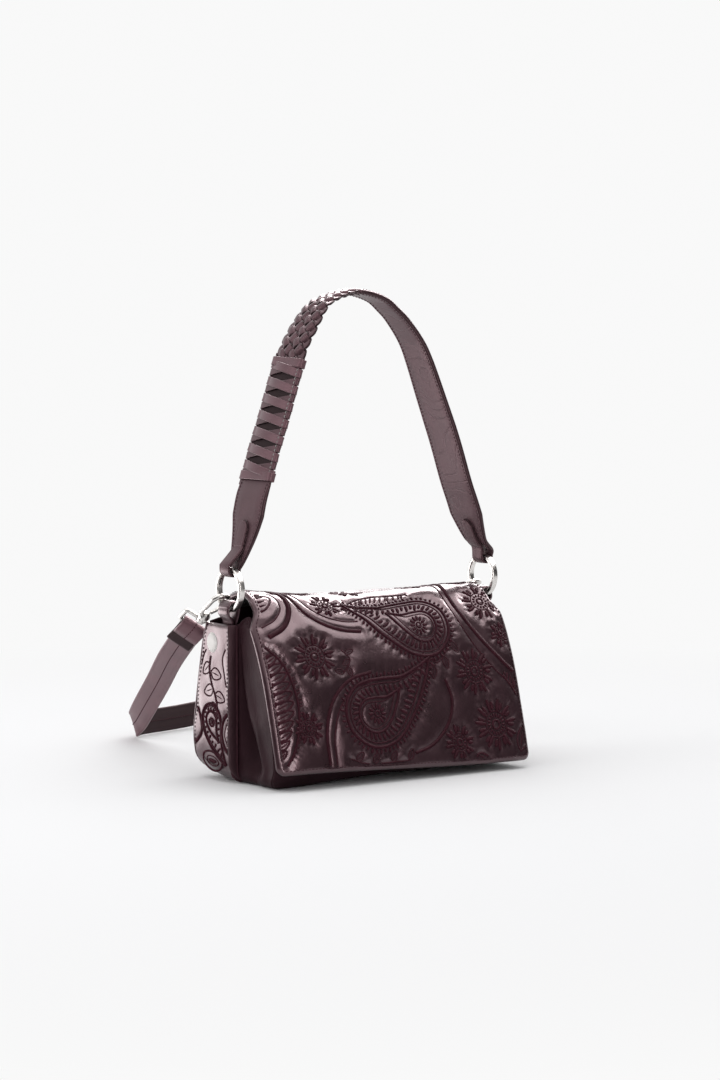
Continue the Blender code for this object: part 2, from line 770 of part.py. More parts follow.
def flap_layer(name, depth, thickness, inset, paint, trim):
    """One layer of the hanging part of the flap, at a depth below its outer face."""
    line = offset_line(flap_front_line(), depth)
    total = length_of(line)
    line = cut(line, trim, total - inset - GAP)
    line = resampled(line, 17)
    fine = resampled(cut(line, length_of(line) - FLAP_CORNER, length_of(line)), 6)
    line = resampled(cut(line, 0.0, length_of(line) - FLAP_CORNER), 13)[:-1] + fine
    rows = []
    run = 0.0
    for i, point in enumerate(line):
        if i:
            run += (point - line[i - 1]).length
        half = flap_half((run + trim) / total, total - run - trim, inset)
        rows.append([(lerp(-half, half, k / 12), point[0], point[1]) for k in range(13)])
    return sheet(name, rows, thickness, -1, paint)


def make_flap_front():
    skin = flap_layer("flap_front_skin", 0.0, FLAP_SKIN, 0.0, leather("flap_front_leather"), GAP)
    depth = FLAP_SKIN + GAP
    foam = material("foam", BOARD_COLOUR, 0.9)
    padding = flap_layer("flap_front_padding", depth, FLAP_PADDING, FLAP_INSET, foam, OVERRUN / 2)
    depth += FLAP_PADDING + GAP
    flap_layer("flap_front_lining", depth, FLAP_LINING, GAP, lining_cloth("flap_lining_cloth"), OVERRUN / 2)
    line = offset_line(flap_front_line(), FLAP_SKIN + GAP * 2)
    spot = min(range(len(line)), key=lambda i: abs(line[i][1] - MAGNET_HEIGHT))
    along = (line[spot + 1] - line[spot - 1]).normalized()
    inward = Vector((0.0, -along[1], along[0]))
    place = facing((0.0, line[spot][0], line[spot][1]), inward)
    thick = MAGNET_THICKNESS - GAP
    disc = [(0.0, thick), (MAGNET_RADIUS, thick), (MAGNET_RADIUS, 0.0), (0.0, 0.0)]
    turned("flap_magnet", disc, place, nickel("flap_magnet_metal"), BAG)
    wide = MAGNET_RADIUS + GAP * 2
    hole = [(0.0, OVERRUN), (wide, OVERRUN), (wide, -OVERRUN), (0.0, -OVERRUN)]
    boolean(padding, "DIFFERENCE", turned("padding_hole", hole, place, nickel("padding_cutter"), CUTTERS))
    return skin


def make_flap_top():
    cloth = lining_cloth("flap_top_cloth")
    for name, depth, thickness, half, paint in (
        ("flap_top_skin", 0.0, FLAP_SKIN, FLAP_TOP_HALF_WIDTH, leather("flap_top_leather")),
        ("flap_top_lining", FLAP_SKIN + GAP, FLAP_LINING, FLAP_TOP_HALF_WIDTH - GAP, cloth),
    ):
        line = offset_line(flap_top_line(), depth)
        line = resampled(cut(line, GAP, length_of(line) - GAP), 11)
        rows = []
        for i, point in enumerate(line):
            wide = half - FLAP_ROOT_TUCK * (1.0 - clamp(i / (len(line) - 1) / FLAP_ROOT_SHARE))
            rows.append([(lerp(-wide, wide, k / 12), point[0], point[1]) for k in range(13)])
        sheet(name, rows, thickness, -1, paint)


def make_panel_magnet():
    """The magnet behind the front panel, opposite the one in the flap."""
    z = MAGNET_HEIGHT
    step = MAGNET_RADIUS
    slope = Vector((0.0, front_y(z + step) - front_y(z - step), step * 2)).normalized()
    inward = Vector((0.0, slope[2], -slope[1]))
    place = facing(Vector((0.0, front_y(z), z)) + inward * (LEATHER + GAP * 2), inward)
    disc = [(0.0, MAGNET_THICKNESS), (MAGNET_RADIUS, MAGNET_THICKNESS), (MAGNET_RADIUS, 0.0), (0.0, 0.0)]
    turned("panel_magnet", disc, place, nickel("panel_magnet_metal"), BAG)


# The studs
def make_studs():
    for side, word in ((-1, "left"), (1, "right")):
        place = facing((side * (REAR_WIDTH / 2 + GAP), STUD_Y, STUD_Z), (side, 0, 0))
        tip = -LEATHER - GAP * 4 - STUD_WASHER
        cap = [
            (0.0, STUD_CROWN), (STUD_RADIUS * 0.55, STUD_CROWN * 0.97), (STUD_RADIUS * 0.86, STUD_CROWN * 0.78),
            (STUD_RADIUS, STUD_CROWN * 0.30), (STUD_RADIUS, 0.0), (STUD_POST_RADIUS, 0.0), (STUD_POST_RADIUS, tip),
            (0.0, tip),
        ]
        turned("stud_" + word, cap, place, nickel("stud_metal_" + word), BAG)
        inner = -LEATHER - GAP * 2
        bore = STUD_POST_RADIUS + GAP
        washer = [
            (bore, inner), (STUD_WASHER_RADIUS, inner), (STUD_WASHER_RADIUS, inner - STUD_WASHER),
            (bore, inner - STUD_WASHER), (bore, inner),
        ]
        turned("stud_washer_" + word, washer, place, nickel("washer_metal_" + word), BAG)


# The zip
def zip_middle():
    front = SEAM_Y + LEATHER / 2 + ZIP_EDGE_ROOM
    back = rear_y(ZIP_Z) - LEATHER - ZIP_EDGE_ROOM
    return front, (front + back) / 2, back


def make_zip():
    front, middle, back = zip_middle()
    tape_inner = ZIP_SLOT / 2 + TOOTH_REACH - TOOTH_RIB + GAP
    low = ZIP_Z - ZIP_TAPE / 2
    high = ZIP_Z + ZIP_TAPE / 2
    for word, edge, way in (("front", front, -1), ("back", back, 1)):
        inner = middle + way * tape_inner
        start = min(edge, inner)
        end = max(edge, inner)
        block(
            "zip_tape_" + word, (-ZIP_HALF_LENGTH, start, low), (ZIP_HALF_LENGTH, end, high),
            lining_cloth("tape_cloth_" + word), BAG,
        )
        make_teeth(word, middle, way)
    make_zip_stops(middle)
    make_slider(middle)


def make_teeth(word, middle, way):
    """One row of teeth, as a comb that grips the tape's edge."""
    span = TOOTH_PITCH * (TOOTH_COUNT - 1) + TOOTH_WIDTH
    rib = middle + way * (ZIP_SLOT / 2 + TOOTH_REACH - TOOTH_RIB)
    spine = middle + way * (ZIP_SLOT / 2 + TOOTH_REACH - TOOTH_RIB * 2)
    tip = middle + way * ZIP_SLOT / 2
    outline = [(-span / 2, rib)]
    for i in range(TOOTH_COUNT):
        x = -span / 2 + i * TOOTH_PITCH
        if i:
            outline.append((x, spine))
        outline += [(x, tip), (x + TOOTH_WIDTH, tip)]
        if i < TOOTH_COUNT - 1:
            outline.append((x + TOOTH_WIDTH, spine))
    outline.append((span / 2, rib))
    mesh = bpy.data.meshes.new("zip_teeth_" + word)
    bm = bmesh.new()
    lower = bm.faces.new([bm.verts.new((x, y, ZIP_Z - TOOTH_THICKNESS / 2)) for x, y in outline])
    raised = bmesh.ops.extrude_face_region(bm, geom=[lower])
    tops = [item for item in raised["geom"] if isinstance(item, bmesh.types.BMVert)]
    bmesh.ops.translate(bm, verts=tops, vec=(0.0, 0.0, TOOTH_THICKNESS))
    bmesh.ops.recalc_face_normals(bm, faces=bm.faces[:])
    bm.to_mesh(mesh)
    bm.free()
    add_object("zip_teeth_" + word, mesh, nickel("teeth_metal_" + word), BAG)


def make_zip_stops(middle):
    span = TOOTH_PITCH * (TOOTH_COUNT - 1) + TOOTH_WIDTH
    half = ZIP_SLOT / 2 + TOOTH_REACH
    for side, word in ((-1, "left"), (1, "right")):
        near = side * (span / 2 + GAP)
        far = side * (span / 2 + GAP + STOP_LENGTH)
        low = (min(near, far), middle - half, ZIP_Z + ZIP_TAPE / 2 + GAP)
        high = (max(near, far), middle + half, ZIP_Z + TOOTH_THICKNESS / 2)
        block("zip_stop_" + word, low, high, nickel("stop_metal_" + word), BAG)


def make_slider(middle):
    """The zip's slider: two plates and the web between them, with a bail on top for the puller."""
    face = TOOTH_THICKNESS / 2 + GAP
    x0 = SLIDER_REST_X - SLIDER_LENGTH / 2
    x1 = SLIDER_REST_X + SLIDER_LENGTH / 2
    half = SLIDER_WIDTH / 2
    steel = nickel("slider_metal")
    top = ZIP_Z + face + SLIDER_PLATE
    made = block("zip_slider", (x0, middle - half, ZIP_Z + face), (x1, middle + half, top), steel, BAG)
    web = SLIDER_WEB / 2
    sink = SLIDER_PLATE / 2
    parts = [
        ((x0, middle - half, ZIP_Z - face - SLIDER_PLATE), (x1, middle + half, ZIP_Z - face)),
        ((x0 + sink, middle - web, ZIP_Z - face - sink), (x1 - sink, middle + web, ZIP_Z + face + sink)),
    ]
    post = BAIL_SPAN / 2
    for way in (-1, 1):
        inner = SLIDER_REST_X + way * post
        outer = SLIDER_REST_X + way * (post + BAIL_BAR)
        parts.append((
            (min(inner, outer), middle - BAIL_WIDTH / 2, top - sink),
            (max(inner, outer), middle + BAIL_WIDTH / 2, top + BAIL_OPENING + BAIL_BAR),
        ))
    reach = post + BAIL_BAR / 2
    parts.append((
        (SLIDER_REST_X - reach, middle - BAIL_WIDTH / 2 + sink / 4, top + BAIL_OPENING),
        (SLIDER_REST_X + reach, middle + BAIL_WIDTH / 2 - sink / 4, top + BAIL_OPENING + BAIL_BAR - sink / 4),
    ))
    for i, (low, high) in enumerate(parts):
        boolean(made, "UNION", block(f"slider_part_{i}", low, high, steel, CUTTERS))
    make_puller(middle, top)


def make_puller(middle, top):
    """A flat tab whose hole rides on the bail; its cross bar lies in the bail's opening."""
    bar = BAIL_OPENING / 4
    low_z = top + BAIL_OPENING / 2 - PULLER_THICKNESS / 2
    high_z = low_z + PULLER_THICKNESS
    start = SLIDER_REST_X - bar
    tab = block(
        "zip_puller", (start, middle - PULLER_WIDTH / 2, low_z),
        (start + PULLER_LENGTH, middle + PULLER_WIDTH / 2, high_z), nickel("puller_metal"), BAG,
    )
    wide = BAIL_WIDTH / 2 + BAIL_BAR / 2
    hole = block(
        "puller_hole", (start + bar * 2, middle - wide, low_z - OVERRUN),
        (start + bar * 2 + PULLER_HOLE, middle + wide, high_z + OVERRUN), nickel("puller_cutter"), CUTTERS,
    )
    boolean(tab, "DIFFERENCE", hole)


# The rings and their loops
def make_rings():
    inner = RING_OUTER_RADIUS - RING_THICKNESS
    half = RING_HALF_WIDTH
    profile = [
        (inner + RING_EDGE, half), (RING_OUTER_RADIUS - RING_EDGE, half), (RING_OUTER_RADIUS, half - RING_EDGE),
        (RING_OUTER_RADIUS, -half + RING_EDGE), (RING_OUTER_RADIUS - RING_EDGE, -half), (inner + RING_EDGE, -half),
        (inner, -half + RING_EDGE), (inner, half - RING_EDGE), (inner + RING_EDGE, half),
    ]
    for side, word in ((-1, "left"), (1, "right")):
        place = facing((side * RING_X, RING_Y, RING_Z), (side, 0, 0))
        made = turned("ring_" + word, profile, place, nickel("ring_metal_" + word), BAG, 40)
        made.data.shade_smooth()


def chord_drop(half_width):
    """How far a flat band must stay from the ring's middle to clear its curved inner face."""
    inner = RING_OUTER_RADIUS - RING_THICKNESS
    return math.sqrt(inner ** 2 - half_width ** 2)


def loop_line():
    """The corner loop seen from the front: up outside the ring, over its lower bar and down inside."""
    reach = RING_HALF_WIDTH + FOLD_SIDE_CLEARANCE + LOOP_THICKNESS / 2
    crown = RING_Z - chord_drop(LOOP_WIDTH / 2 + LOOP_OFFSET) + FOLD_CROWN_CLEARANCE + LOOP_THICKNESS / 2
    arc_z = crown - reach
    points = [Vector((LOOP_OUTER_LEG_X, 0.0, LOOP_BOTTOM_Z)), Vector((LOOP_OUTER_LEG_X, 0.0, WALL_HEIGHT))]
    points.append(Vector((RING_X + reach, 0.0, arc_z - reach)))
    for k in range(9):
        angle = math.pi * k / 8
        points.append(Vector((RING_X + reach * math.cos(angle), 0.0, arc_z + reach * math.sin(angle))))
    points.append(Vector((LOOP_INNER_LEG_X, 0.0, WALL_HEIGHT)))
    points.append(Vector((LOOP_INNER_LEG_X, 0.0, LOOP_BOTTOM_Z)))
    return points


def make_corner_loops():
    """The legs go down behind the divider; above the compartment the loops widen towards their rings."""
    leg_y = SEAM_Y + LEATHER / 2 + GAP + LOOP_LEG_WIDTH / 2
    loop_y = RING_Y + LOOP_OFFSET
    for side, word in ((-1, "left"), (1, "right")):
        frames = []
        shares = []
        for p in loop_line():
            share = clamp((p[2] - WALL_HEIGHT) / (RING_OUTER_RADIUS / 2))
            shares.append(share)
            frames.append(Vector((side * p[0], lerp(leg_y, loop_y, share), p[2])))
        made = frames_along(frames, across_y, lambda run, total: LOOP_WIDTH / 2, LOOP_THICKNESS / 2)
        made = [
            (middle, Vector((0.0, 1.0, 0.0)), through, lerp(LOOP_LEG_WIDTH, LOOP_WIDTH, share) / 2, thickness)
            for (middle, _, through, _, thickness), share in zip(made, shares)
        ]
        sweep("corner_loop_" + word, made, leather("loop_leather_" + word))


# The handle
def fold_reach():
    return RING_HALF_WIDTH + FOLD_SIDE_CLEARANCE + HANDLE_TAB_THICKNESS / 2


def fold_line(side):
    """The strap's end round a ring's upper bar, from the tongue on its left to the strap on its right."""
    reach = fold_reach()
    crown = RING_Z + chord_drop(HANDLE_TAB_WIDTH / 2) - FOLD_CROWN_CLEARANCE - HANDLE_TAB_THICKNESS / 2
    middle = crown + reach
    points = []
    for k in range(9):
        angle = math.pi * k / 8
        x = side * RING_X - reach * math.cos(angle)
        points.append(Vector((x, RING_Y, middle - reach * math.sin(angle))))
    return points


def handle_line():
    points = [Vector((x * RING_X, RING_Y, RING_Z + z * HANDLE_RISE)) for x, z in HANDLE_SHARES]
    return points


def full_handle_line():
    """The whole middle line, from the left fold to the right one."""
    return spline([fold_line(-1)[-1], *handle_line(), fold_line(1)[-1]], 5)


def tongue_line(side):
    """The folded-back tongue lies on the strap's outer face at the left ring, its inner face at the right."""
    fold = fold_line(side)
    main = full_handle_line()
    if side > 0:
        main = list(reversed(main))
    main = resampled(cut(main, 0.0, TONGUE_LENGTH), 8)
    away = (HANDLE_TAB_THICKNESS + HANDLE_THICKNESS) / 2 + GAP
    points = []
    for i in range(3, len(main)):
        along = (main[i] - main[i - 1]).normalized()
        out = Vector((along[2], 0.0, -along[0]))
        if out[0] > 0:
            out = -out
        points.append(main[i] + out * away)
    return [*reversed(points), fold[0] + Vector((0.0, 0.0, TONGUE_RISE)), *fold]


def taper(run):
    return lerp(HANDLE_TAB_WIDTH, HANDLE_WIDTH, clamp(run / HANDLE_TAPER) ** 0.8) / 2


def handle_thickness(run):
    return lerp(HANDLE_TAB_THICKNESS, HANDLE_THICKNESS, clamp(run / HANDLE_TAPER)) / 2


def across_y(share):
    return Vector((0.0, 1.0, 0.0))


def strap_end(name, side, main, width_shares, paint):
    """One end of the handle: tongue, fold round the ring and the strap itself, in one piece."""
    tongue = tongue_line(side)
    joint = tongue[-1]
    line = tongue + [p for p in main if (p - joint).length > HANDLE_TAB_THICKNESS]
    frames = frames_along(line, across_y, lambda run, total: HANDLE_TAB_WIDTH / 2, HANDLE_TAB_THICKNESS / 2)
    whole = length_of(line[len(tongue) - 1:])
    run = 0.0
    made = []
    for i, (middle, side_way, through, half_width, half_thickness) in enumerate(frames):
        if i >= len(tongue):
            run += (middle - line[i - 1]).length
            half_width = taper(run) * table(width_shares, run / whole)
            half_thickness = handle_thickness(run)
        elif i == 0:
            half_width *= 0.55
        made.append((middle, side_way, through, half_width, half_thickness))
    return sweep(name, made, paint)


def make_handle():
    line = full_handle_line()
    total = length_of(line)
    lacing_end = LACING_START + LACING_LENGTH
    braid_end = lacing_end + BRAID_LENGTH
    tuck = LACING_TUCK
    left = resampled(cut(line, 0.0, lacing_end - tuck - GAP), 34)
    paint = strap_leather("handle_strap_left_leather")
    strap_end("handle_strap_left", -1, left, HANDLE_LEFT_WIDTH_SHARES, paint)
    right = list(reversed(resampled(cut(line, braid_end + GAP, total), 56)))
    paint = strap_leather("handle_strap_right_leather")
    strap_end("handle_strap_right", 1, right, HANDLE_RIGHT_WIDTH_SHARES, paint)
    braid = resampled(cut(line, lacing_end - tuck, braid_end), 26)
    narrow = HANDLE_THICKNESS / 2

    def braid_frames():
        frames = frames_along(
            braid, across_y, lambda run, whole: BRAID_WIDTH * table(BRAID_WIDTH_SHARES, run / whole) / 2,
            BRAID_THICKNESS / 2,
        )
        run = 0.0
        made = []
        for i, (middle, side_way, through, half_width, half_thickness) in enumerate(frames):
            if i:
                run += (middle - braid[i - 1]).length
            share = clamp((run - tuck) / tuck)
            made.append((middle, side_way, through, half_width, lerp(narrow, half_thickness, share)))
        return made

    sweep("handle_braid", braid_frames(), strap_leather("handle_braid_leather"))
    make_lacing(resampled(cut(line, LACING_START, lacing_end), 14))


def make_lacing(points):
    """The laced wrap: a flat sleeve round the strap, open at both ends."""
    laced = HANDLE_WIDTH * HANDLE_LEFT_WIDTH_SHARES[-1][1] / 2 + GAP
    frames = frames_along(
        points, across_y, lambda run, total: lerp(HANDLE_WIDTH / 2 + GAP, laced, clamp(run / LACING_TUCK)),
        HANDLE_THICKNESS / 2 + GAP,
    )
    wall = LACING_THICKNESS
    corners = ((-1, -1), (1, -1), (1, 1), (-1, 1))
    mesh = bpy.data.meshes.new("handle_lacing")
    bm = bmesh.new()
    inner = []
    outer = []
    for middle, side_way, through, half_width, half_thickness in frames:
        inner.append([
            bm.verts.new(middle + side_way * (a * half_width) + through * (b * half_thickness)) for a, b in corners
        ])
        outer.append([
            bm.verts.new(middle + side_way * (a * (half_width + wall)) + through * (b * (half_thickness + wall)))
            for a, b in corners
        ])
    for rings in (inner, outer):
        for one, two in zip(rings, rings[1:]):
            for j in range(4):
                k = (j + 1) % 4
                bm.faces.new((one[j], two[j], two[k], one[k]))
    for end in (0, -1):
        for j in range(4):
            k = (j + 1) % 4
            bm.faces.new((inner[end][j], outer[end][j], outer[end][k], inner[end][k]))
    bmesh.ops.recalc_face_normals(bm, faces=bm.faces[:])
    bm.to_mesh(mesh)
    bm.free()
    add_object("handle_lacing", mesh, strap_leather("lacing_leather"), BAG)


# The snap hooks
def hook_frame(side):
    """Origin at the ring's middle; Z out along the hook, X across it."""
    out = Vector((0.0, math.sin(HOOK_ANGLE), math.cos(HOOK_ANGLE)))
    across = Vector((side, 0.0, 0.0))
    third = out.cross(across)
    turn = Matrix((across, third, out)).transposed().to_4x4()
    return Matrix.Translation((side * RING_X, RING_Y, RING_Z)) @ turn


def hook_wire_line():
    """The hook's bent wire, from the tip round the nose and up the shank into the collar."""
    points = [Vector((-HOOK_HALF_WIDTH, 0.0, HOOK_NOSE + HOOK_TIP))]
    for k in range(13):
        angle = math.pi * (1.0 + k / 12)
        points.append(
            Vector((HOOK_HALF_WIDTH * math.cos(angle), 0.0, HOOK_NOSE + HOOK_HALF_WIDTH * math.sin(angle)))
        )
    points.append(Vector((HOOK_HALF_WIDTH, 0.0, HOOK_NOSE + HOOK_SHANK)))
    points.append(Vector((HOOK_HALF_WIDTH * 0.72, 0.0, HOOK_NOSE + HOOK_SHANK + HOOK_WIRE_RADIUS * 1.6)))
    points.append(Vector((0.0, 0.0, HOOK_COLLAR_START + HOOK_COLLAR_LENGTH / 2)))
    return points


def make_hook(side, word):
    place = hook_frame(side)
    steel = nickel("hook_metal_" + word)
    wire = [place @ p for p in hook_wire_line()]
    made = tube("hook_" + word, wire, HOOK_WIRE_RADIUS, steel, BAG)
    low = HOOK_COLLAR_START
    high = low + HOOK_COLLAR_LENGTH
    neck = high + HOOK_PIN_LENGTH
    profile = [
        (0.0, neck + HOOK_HEAD_LENGTH), (HOOK_HEAD_RADIUS, neck + HOOK_HEAD_LENGTH), (HOOK_HEAD_RADIUS, neck),
        (HOOK_PIN_RADIUS, neck), (HOOK_PIN_RADIUS, high), (HOOK_COLLAR_RADIUS, high), (HOOK_COLLAR_RADIUS, low),
        (HOOK_COLLAR_RADIUS * 0.6, low - HOOK_WIRE_RADIUS), (0.0, low - HOOK_WIRE_RADIUS),
    ]
    boolean(made, "UNION", turned("hook_collar_" + word, profile, place, steel, CUTTERS, 20))
    make_gate(side, word, place)
    make_swivel_loop(side, word, place, high)


def gate_ends():
    return HOOK_NOSE + HOOK_TIP + GAP * 2, HOOK_COLLAR_START - HOOK_WIRE_RADIUS - GAP * 2


def make_gate(side, word, place):
    """The sprung gate, with its thumb knob, closing the hook's mouth."""
    steel = nickel("gate_metal_" + word)
    low, high = gate_ends()
    x = -HOOK_HALF_WIDTH
    bend = Vector((x, 0.0, lerp(low, high, 0.72)))
    points = [Vector((x, 0.0, low)), Vector((x, 0.0, lerp(low, high, 0.4))), bend]
    points.append(Vector((x * GATE_BEND_SHARE, 0.0, high)))
    made = tube("hook_gate_" + word, [place @ p for p in points], GATE_RADIUS, steel, BAG)
    knob = GATE_THUMB_RADIUS
    profile = [(0.0, knob), (knob * 0.8, knob * 0.6), (knob, 0.0), (knob * 0.8, -knob * 0.6), (0.0, -knob)]
    spot = place @ Matrix.Translation(bend + Vector((-knob * 0.7, 0.0, 0.0)))
    boolean(made, "UNION", turned("gate_knob_" + word, profile, spot, steel, CUTTERS, 16))


def swivel_turn(side):
    return Matrix.Rotation(-side * SWIVEL_TURN, 4, "Z")


def swivel_sizes(high):
    start = high + GAP
    boss = HOOK_PIN_LENGTH - GAP * 2
    wire = start + boss / 2
    bar = wire + SWIVEL_DEPTH
    half = SWIVEL_INNER_WIDTH / 2 + SWIVEL_WIRE_RADIUS
    return start, boss, wire, bar, half


def make_swivel_loop(side, word, place, high):
    """The flat loop that holds the strap's end, bored for the hook's pin."""
    steel = nickel("swivel_metal_" + word)
    turned_place = place @ swivel_turn(side)
    start, boss, wire, bar, half = swivel_sizes(high)
    round_off = SWIVEL_WIRE_RADIUS * 1.5
    corners = []
    for x, z, a in ((half, wire, -90), (half, bar, 0), (-half, bar, 90), (-half, wire, 180)):
        cx = x - math.copysign(round_off, x)
        cz = z + (round_off if z == wire else -round_off)
        for k in range(4):
            angle = math.radians(a + 30 * k)
            corners.append(Vector((cx + round_off * math.cos(angle), 0.0, cz + round_off * math.sin(angle))))
    corners = [turned_place @ p for p in corners]
    made = closed_tube("swivel_loop_" + word, corners, SWIVEL_WIRE_RADIUS, steel, BAG)
    body = [
        (0.0, start + boss), (SWIVEL_BOSS_RADIUS, start + boss), (SWIVEL_BOSS_RADIUS, start), (0.0, start),
    ]
    boolean(made, "UNION", turned("swivel_boss_" + word, body, turned_place, steel, CUTTERS, 20))
    bore = HOOK_PIN_RADIUS + HOOK_BORE_CLEARANCE
    top = start + boss + OVERRUN
    tool = [(0.0, top), (bore, top), (bore, start - OVERRUN), (0.0, start - OVERRUN)]
    boolean(made, "DIFFERENCE", turned("swivel_bore_" + word, tool, turned_place, steel, CUTTERS, 20))


# The crossbody strap
def bar_of(side):
    """The middle of the strap's bar, the way the strap leaves it and the bar's own direction."""
    place = hook_frame(side) @ swivel_turn(side)
    _, _, _, bar, _ = swivel_sizes(HOOK_COLLAR_START + HOOK_COLLAR_LENGTH)
    middle = place @ Vector((0.0, 0.0, bar))
    out = (place.to_3x3() @ Vector((0.0, 0.0, 1.0))).normalized()
    along = (place.to_3x3() @ Vector((1.0, 0.0, 0.0))).normalized()
    if along[2] > 0:
        along = -along
    return middle, out, along


def wrap(side, start_way):
    """Points round the bar, from one face of the strap to the other."""
    middle, out, along = bar_of(side)
    reach = SWIVEL_WIRE_RADIUS + GAP * 2 + STRAP_THICKNESS / 2
    through = out.cross(along).normalized() * start_way
    points = []
    for k in range(9):
        angle = math.pi * k / 8
        points.append(middle + through * (reach * math.cos(angle)) - out * (reach * math.sin(angle)))
    return points, out, along, through * reach


def make_strap():
    """One band: stitched round the left bar, over the floor, round the right bar and back to the buckle."""
    route = [Vector((x * RING_X, y * STRAP_REACH, z * RING_Z)) for x, y, z in STRAP_ROUTE_SHARES]
    across = [Vector(p).normalized() for p in STRAP_ACROSS]
    left, left_out, left_along, left_step = wrap(-1, -1)
    right, right_out, right_along, right_step = wrap(1, 1)
    right_end = [right[0] + right_out * STRAP_STRAIGHT, right[0]]
    main = [left[-1], left[-1] + left_out * STRAP_STRAIGHT, *route, *right_end]
    sides = [left_along, left_along, *across, right_along, right_along]
    fine = spline(main, 6)
    fine_sides = spline(sides, 6)
    frames = []

    def add(point, side_way):
        frames.append((point, side_way))

    tail = left[0] + left_out * STRAP_STITCHED_LENGTH
    reach = left_step.length
    first = fine[3]
    drawn = (fine[6] - fine[0]).normalized()
    offset = left_step.normalized() * (STRAP_THICKNESS + GAP * 2)
    for share in (1.0, 0.75, 0.5, 0.3):
        spot = left[-1] + drawn * (STRAP_STITCHED_LENGTH * share)
        add(spot + offset * lerp(reach * 2 / offset.length, 1.0, clamp(share * 2.0)), left_along)
    for point in left:
        add(point, left_along)
    for point, side_way in zip(fine[2:-2], fine_sides[2:-2]):
        add(point, side_way)
    for point in right:
        add(point, right_along)
    back = list(reversed(list(zip(fine, fine_sides))))
    buckle = int(len(fine) * BUCKLE_ROUTE_SHARE)
    kept = back[2:len(fine) - buckle - 2]
    layer = []
    for i, (point, side_way) in enumerate(kept):
        before = kept[max(0, i - 1)][0]
        after = kept[min(len(kept) - 1, i + 1)][0]
        along = (after - before).normalized()
        out = side_way.cross(along).normalized()
        if i == 0:
            flip = math.copysign(1.0, -out.dot(right_step))
        step = lerp(right_step.length * 2, STRAP_LAYER_STEP, clamp((i + 2) / 9))
        layer.append((point + out * (flip * step), side_way))
    for point, side_way in layer:
        add(point, side_way)
    made = []
    half_width = STRAP_WIDTH / 2
    for i, (point, side_way) in enumerate(frames):
        before = frames[max(0, i - 1)][0]
        after = frames[min(len(frames) - 1, i + 1)][0]
        along = (after - before).normalized()
        side_way = (side_way - along * side_way.dot(along)).normalized()
        made.append((point, side_way, along.cross(side_way), half_width, STRAP_THICKNESS / 2))
    sweep("crossbody_strap", made, strap_leather("crossbody_strap_leather"))
    make_buckle(fine, fine_sides, buckle, flip)


def make_buckle(fine, fine_sides, at, flip):
    """The slider buckle: two rails, two outer bars in front of the band and the middle bar behind it."""
    along = (fine[at + 2] - fine[at - 2]).normalized()
    side_way = (fine_sides[at] - along * fine_sides[at].dot(along)).normalized()
    out = along.cross(side_way).normalized() * -flip
    place = Matrix((along, side_way, out)).transposed().to_4x4()
    place = Matrix.Translation(fine[at]) @ place
    half = STRAP_WIDTH / 2 + GAP * 2
    reach = BUCKLE_LENGTH / 2
    clear = STRAP_THICKNESS / 2 + GAP * 2
    steel = nickel("buckle_metal")
    bar = BUCKLE_BAR
    parts = []
    for way in (-1, 1):
        rail = sorted((way * half, way * (half + BUCKLE_RAIL)))
        parts.append(((-reach, rail[0], -clear - bar), (reach, rail[1], clear + bar)))
        outer = sorted((way * reach, way * (reach - bar)))
        parts.append(((outer[0], -half - bar / 2, clear), (outer[1], half + bar / 2, clear + bar * 0.9)))
    parts.append(((-bar / 2, -half - bar / 2, -clear - bar * 0.9), (bar / 2, half + bar / 2, -clear)))
    target = None
    for i, (low, high) in enumerate(parts):
        name = "strap_buckle" if target is None else f"buckle_part_{i}"
        piece = block(name, low, high, steel, BAG if target is None else CUTTERS)
        piece.matrix_world = place
        if target is None:
            target = piece
        else:
            boolean(target, "UNION", piece)


# The joints
def hang(name, place, pieces):
    """An empty on a joint's axis, with the pieces that move on it as its children."""
    pivot = bpy.data.objects.new(name, None)
    BAG.objects.link(pivot)
    pivot.location = place
    for piece in pieces:
        child = bpy.data.objects[piece]
        child.parent = pivot
        child.matrix_parent_inverse = Matrix.Translation(place).inverted()


def hang_moving_pieces():
    crease_y, crease_z = flap_crease()
    hang("flap_lift", Vector((0.0, FLAP_ROOT_Y, FLAP_ROOT_Z)), ("flap_top_skin", "flap_top_lining"))
    front = ("flap_front_skin", "flap_front_padding", "flap_front_lining", "flap_magnet")
    hang("flap_fold", Vector((0.0, crease_y, crease_z)), front)
    handle = ("handle_strap_left", "handle_lacing", "handle_braid", "handle_strap_right")
    hang("handle_swing", Vector((0.0, RING_Y, RING_Z)), handle)
    for side, word in ((-1, "left"), (1, "right")):
        middle = Vector((side * RING_X, RING_Y, RING_Z))
        hang("ring_spin_" + word, middle, ("ring_" + word,))
        hang("hook_swivel_" + word, middle, ("hook_" + word,))
        hinge = hook_frame(side) @ Vector((-HOOK_HALF_WIDTH * GATE_BEND_SHARE, 0.0, gate_ends()[1]))
        hang("hook_gate_turn_" + word, hinge, ("hook_gate_" + word,))
    _, middle, _ = zip_middle()
    hang("zip_slide", Vector((SLIDER_REST_X, middle, ZIP_Z)), ("zip_slider",))
    bail = ZIP_Z + TOOTH_THICKNESS / 2 + GAP + SLIDER_PLATE + BAIL_OPENING / 2
    hang("puller_turn", Vector((SLIDER_REST_X, middle, bail)), ("zip_puller",))


clear_scene()
BAG = new_collection(COLLECTION)
CUTTERS = new_collection("Cutters")
make_rear_gusset()
make_rear_panel()
make_rear_piping()
make_divider()
make_linings()
make_base_board()
make_front_gusset()
make_front_panel()
make_panel_magnet()
make_flap_top()
make_flap_front()
make_studs()
make_zip()
make_rings()
make_corner_loops()
make_handle()
make_hook(-1, "left")
make_hook(1, "right")
make_strap()
hang_moving_pieces()
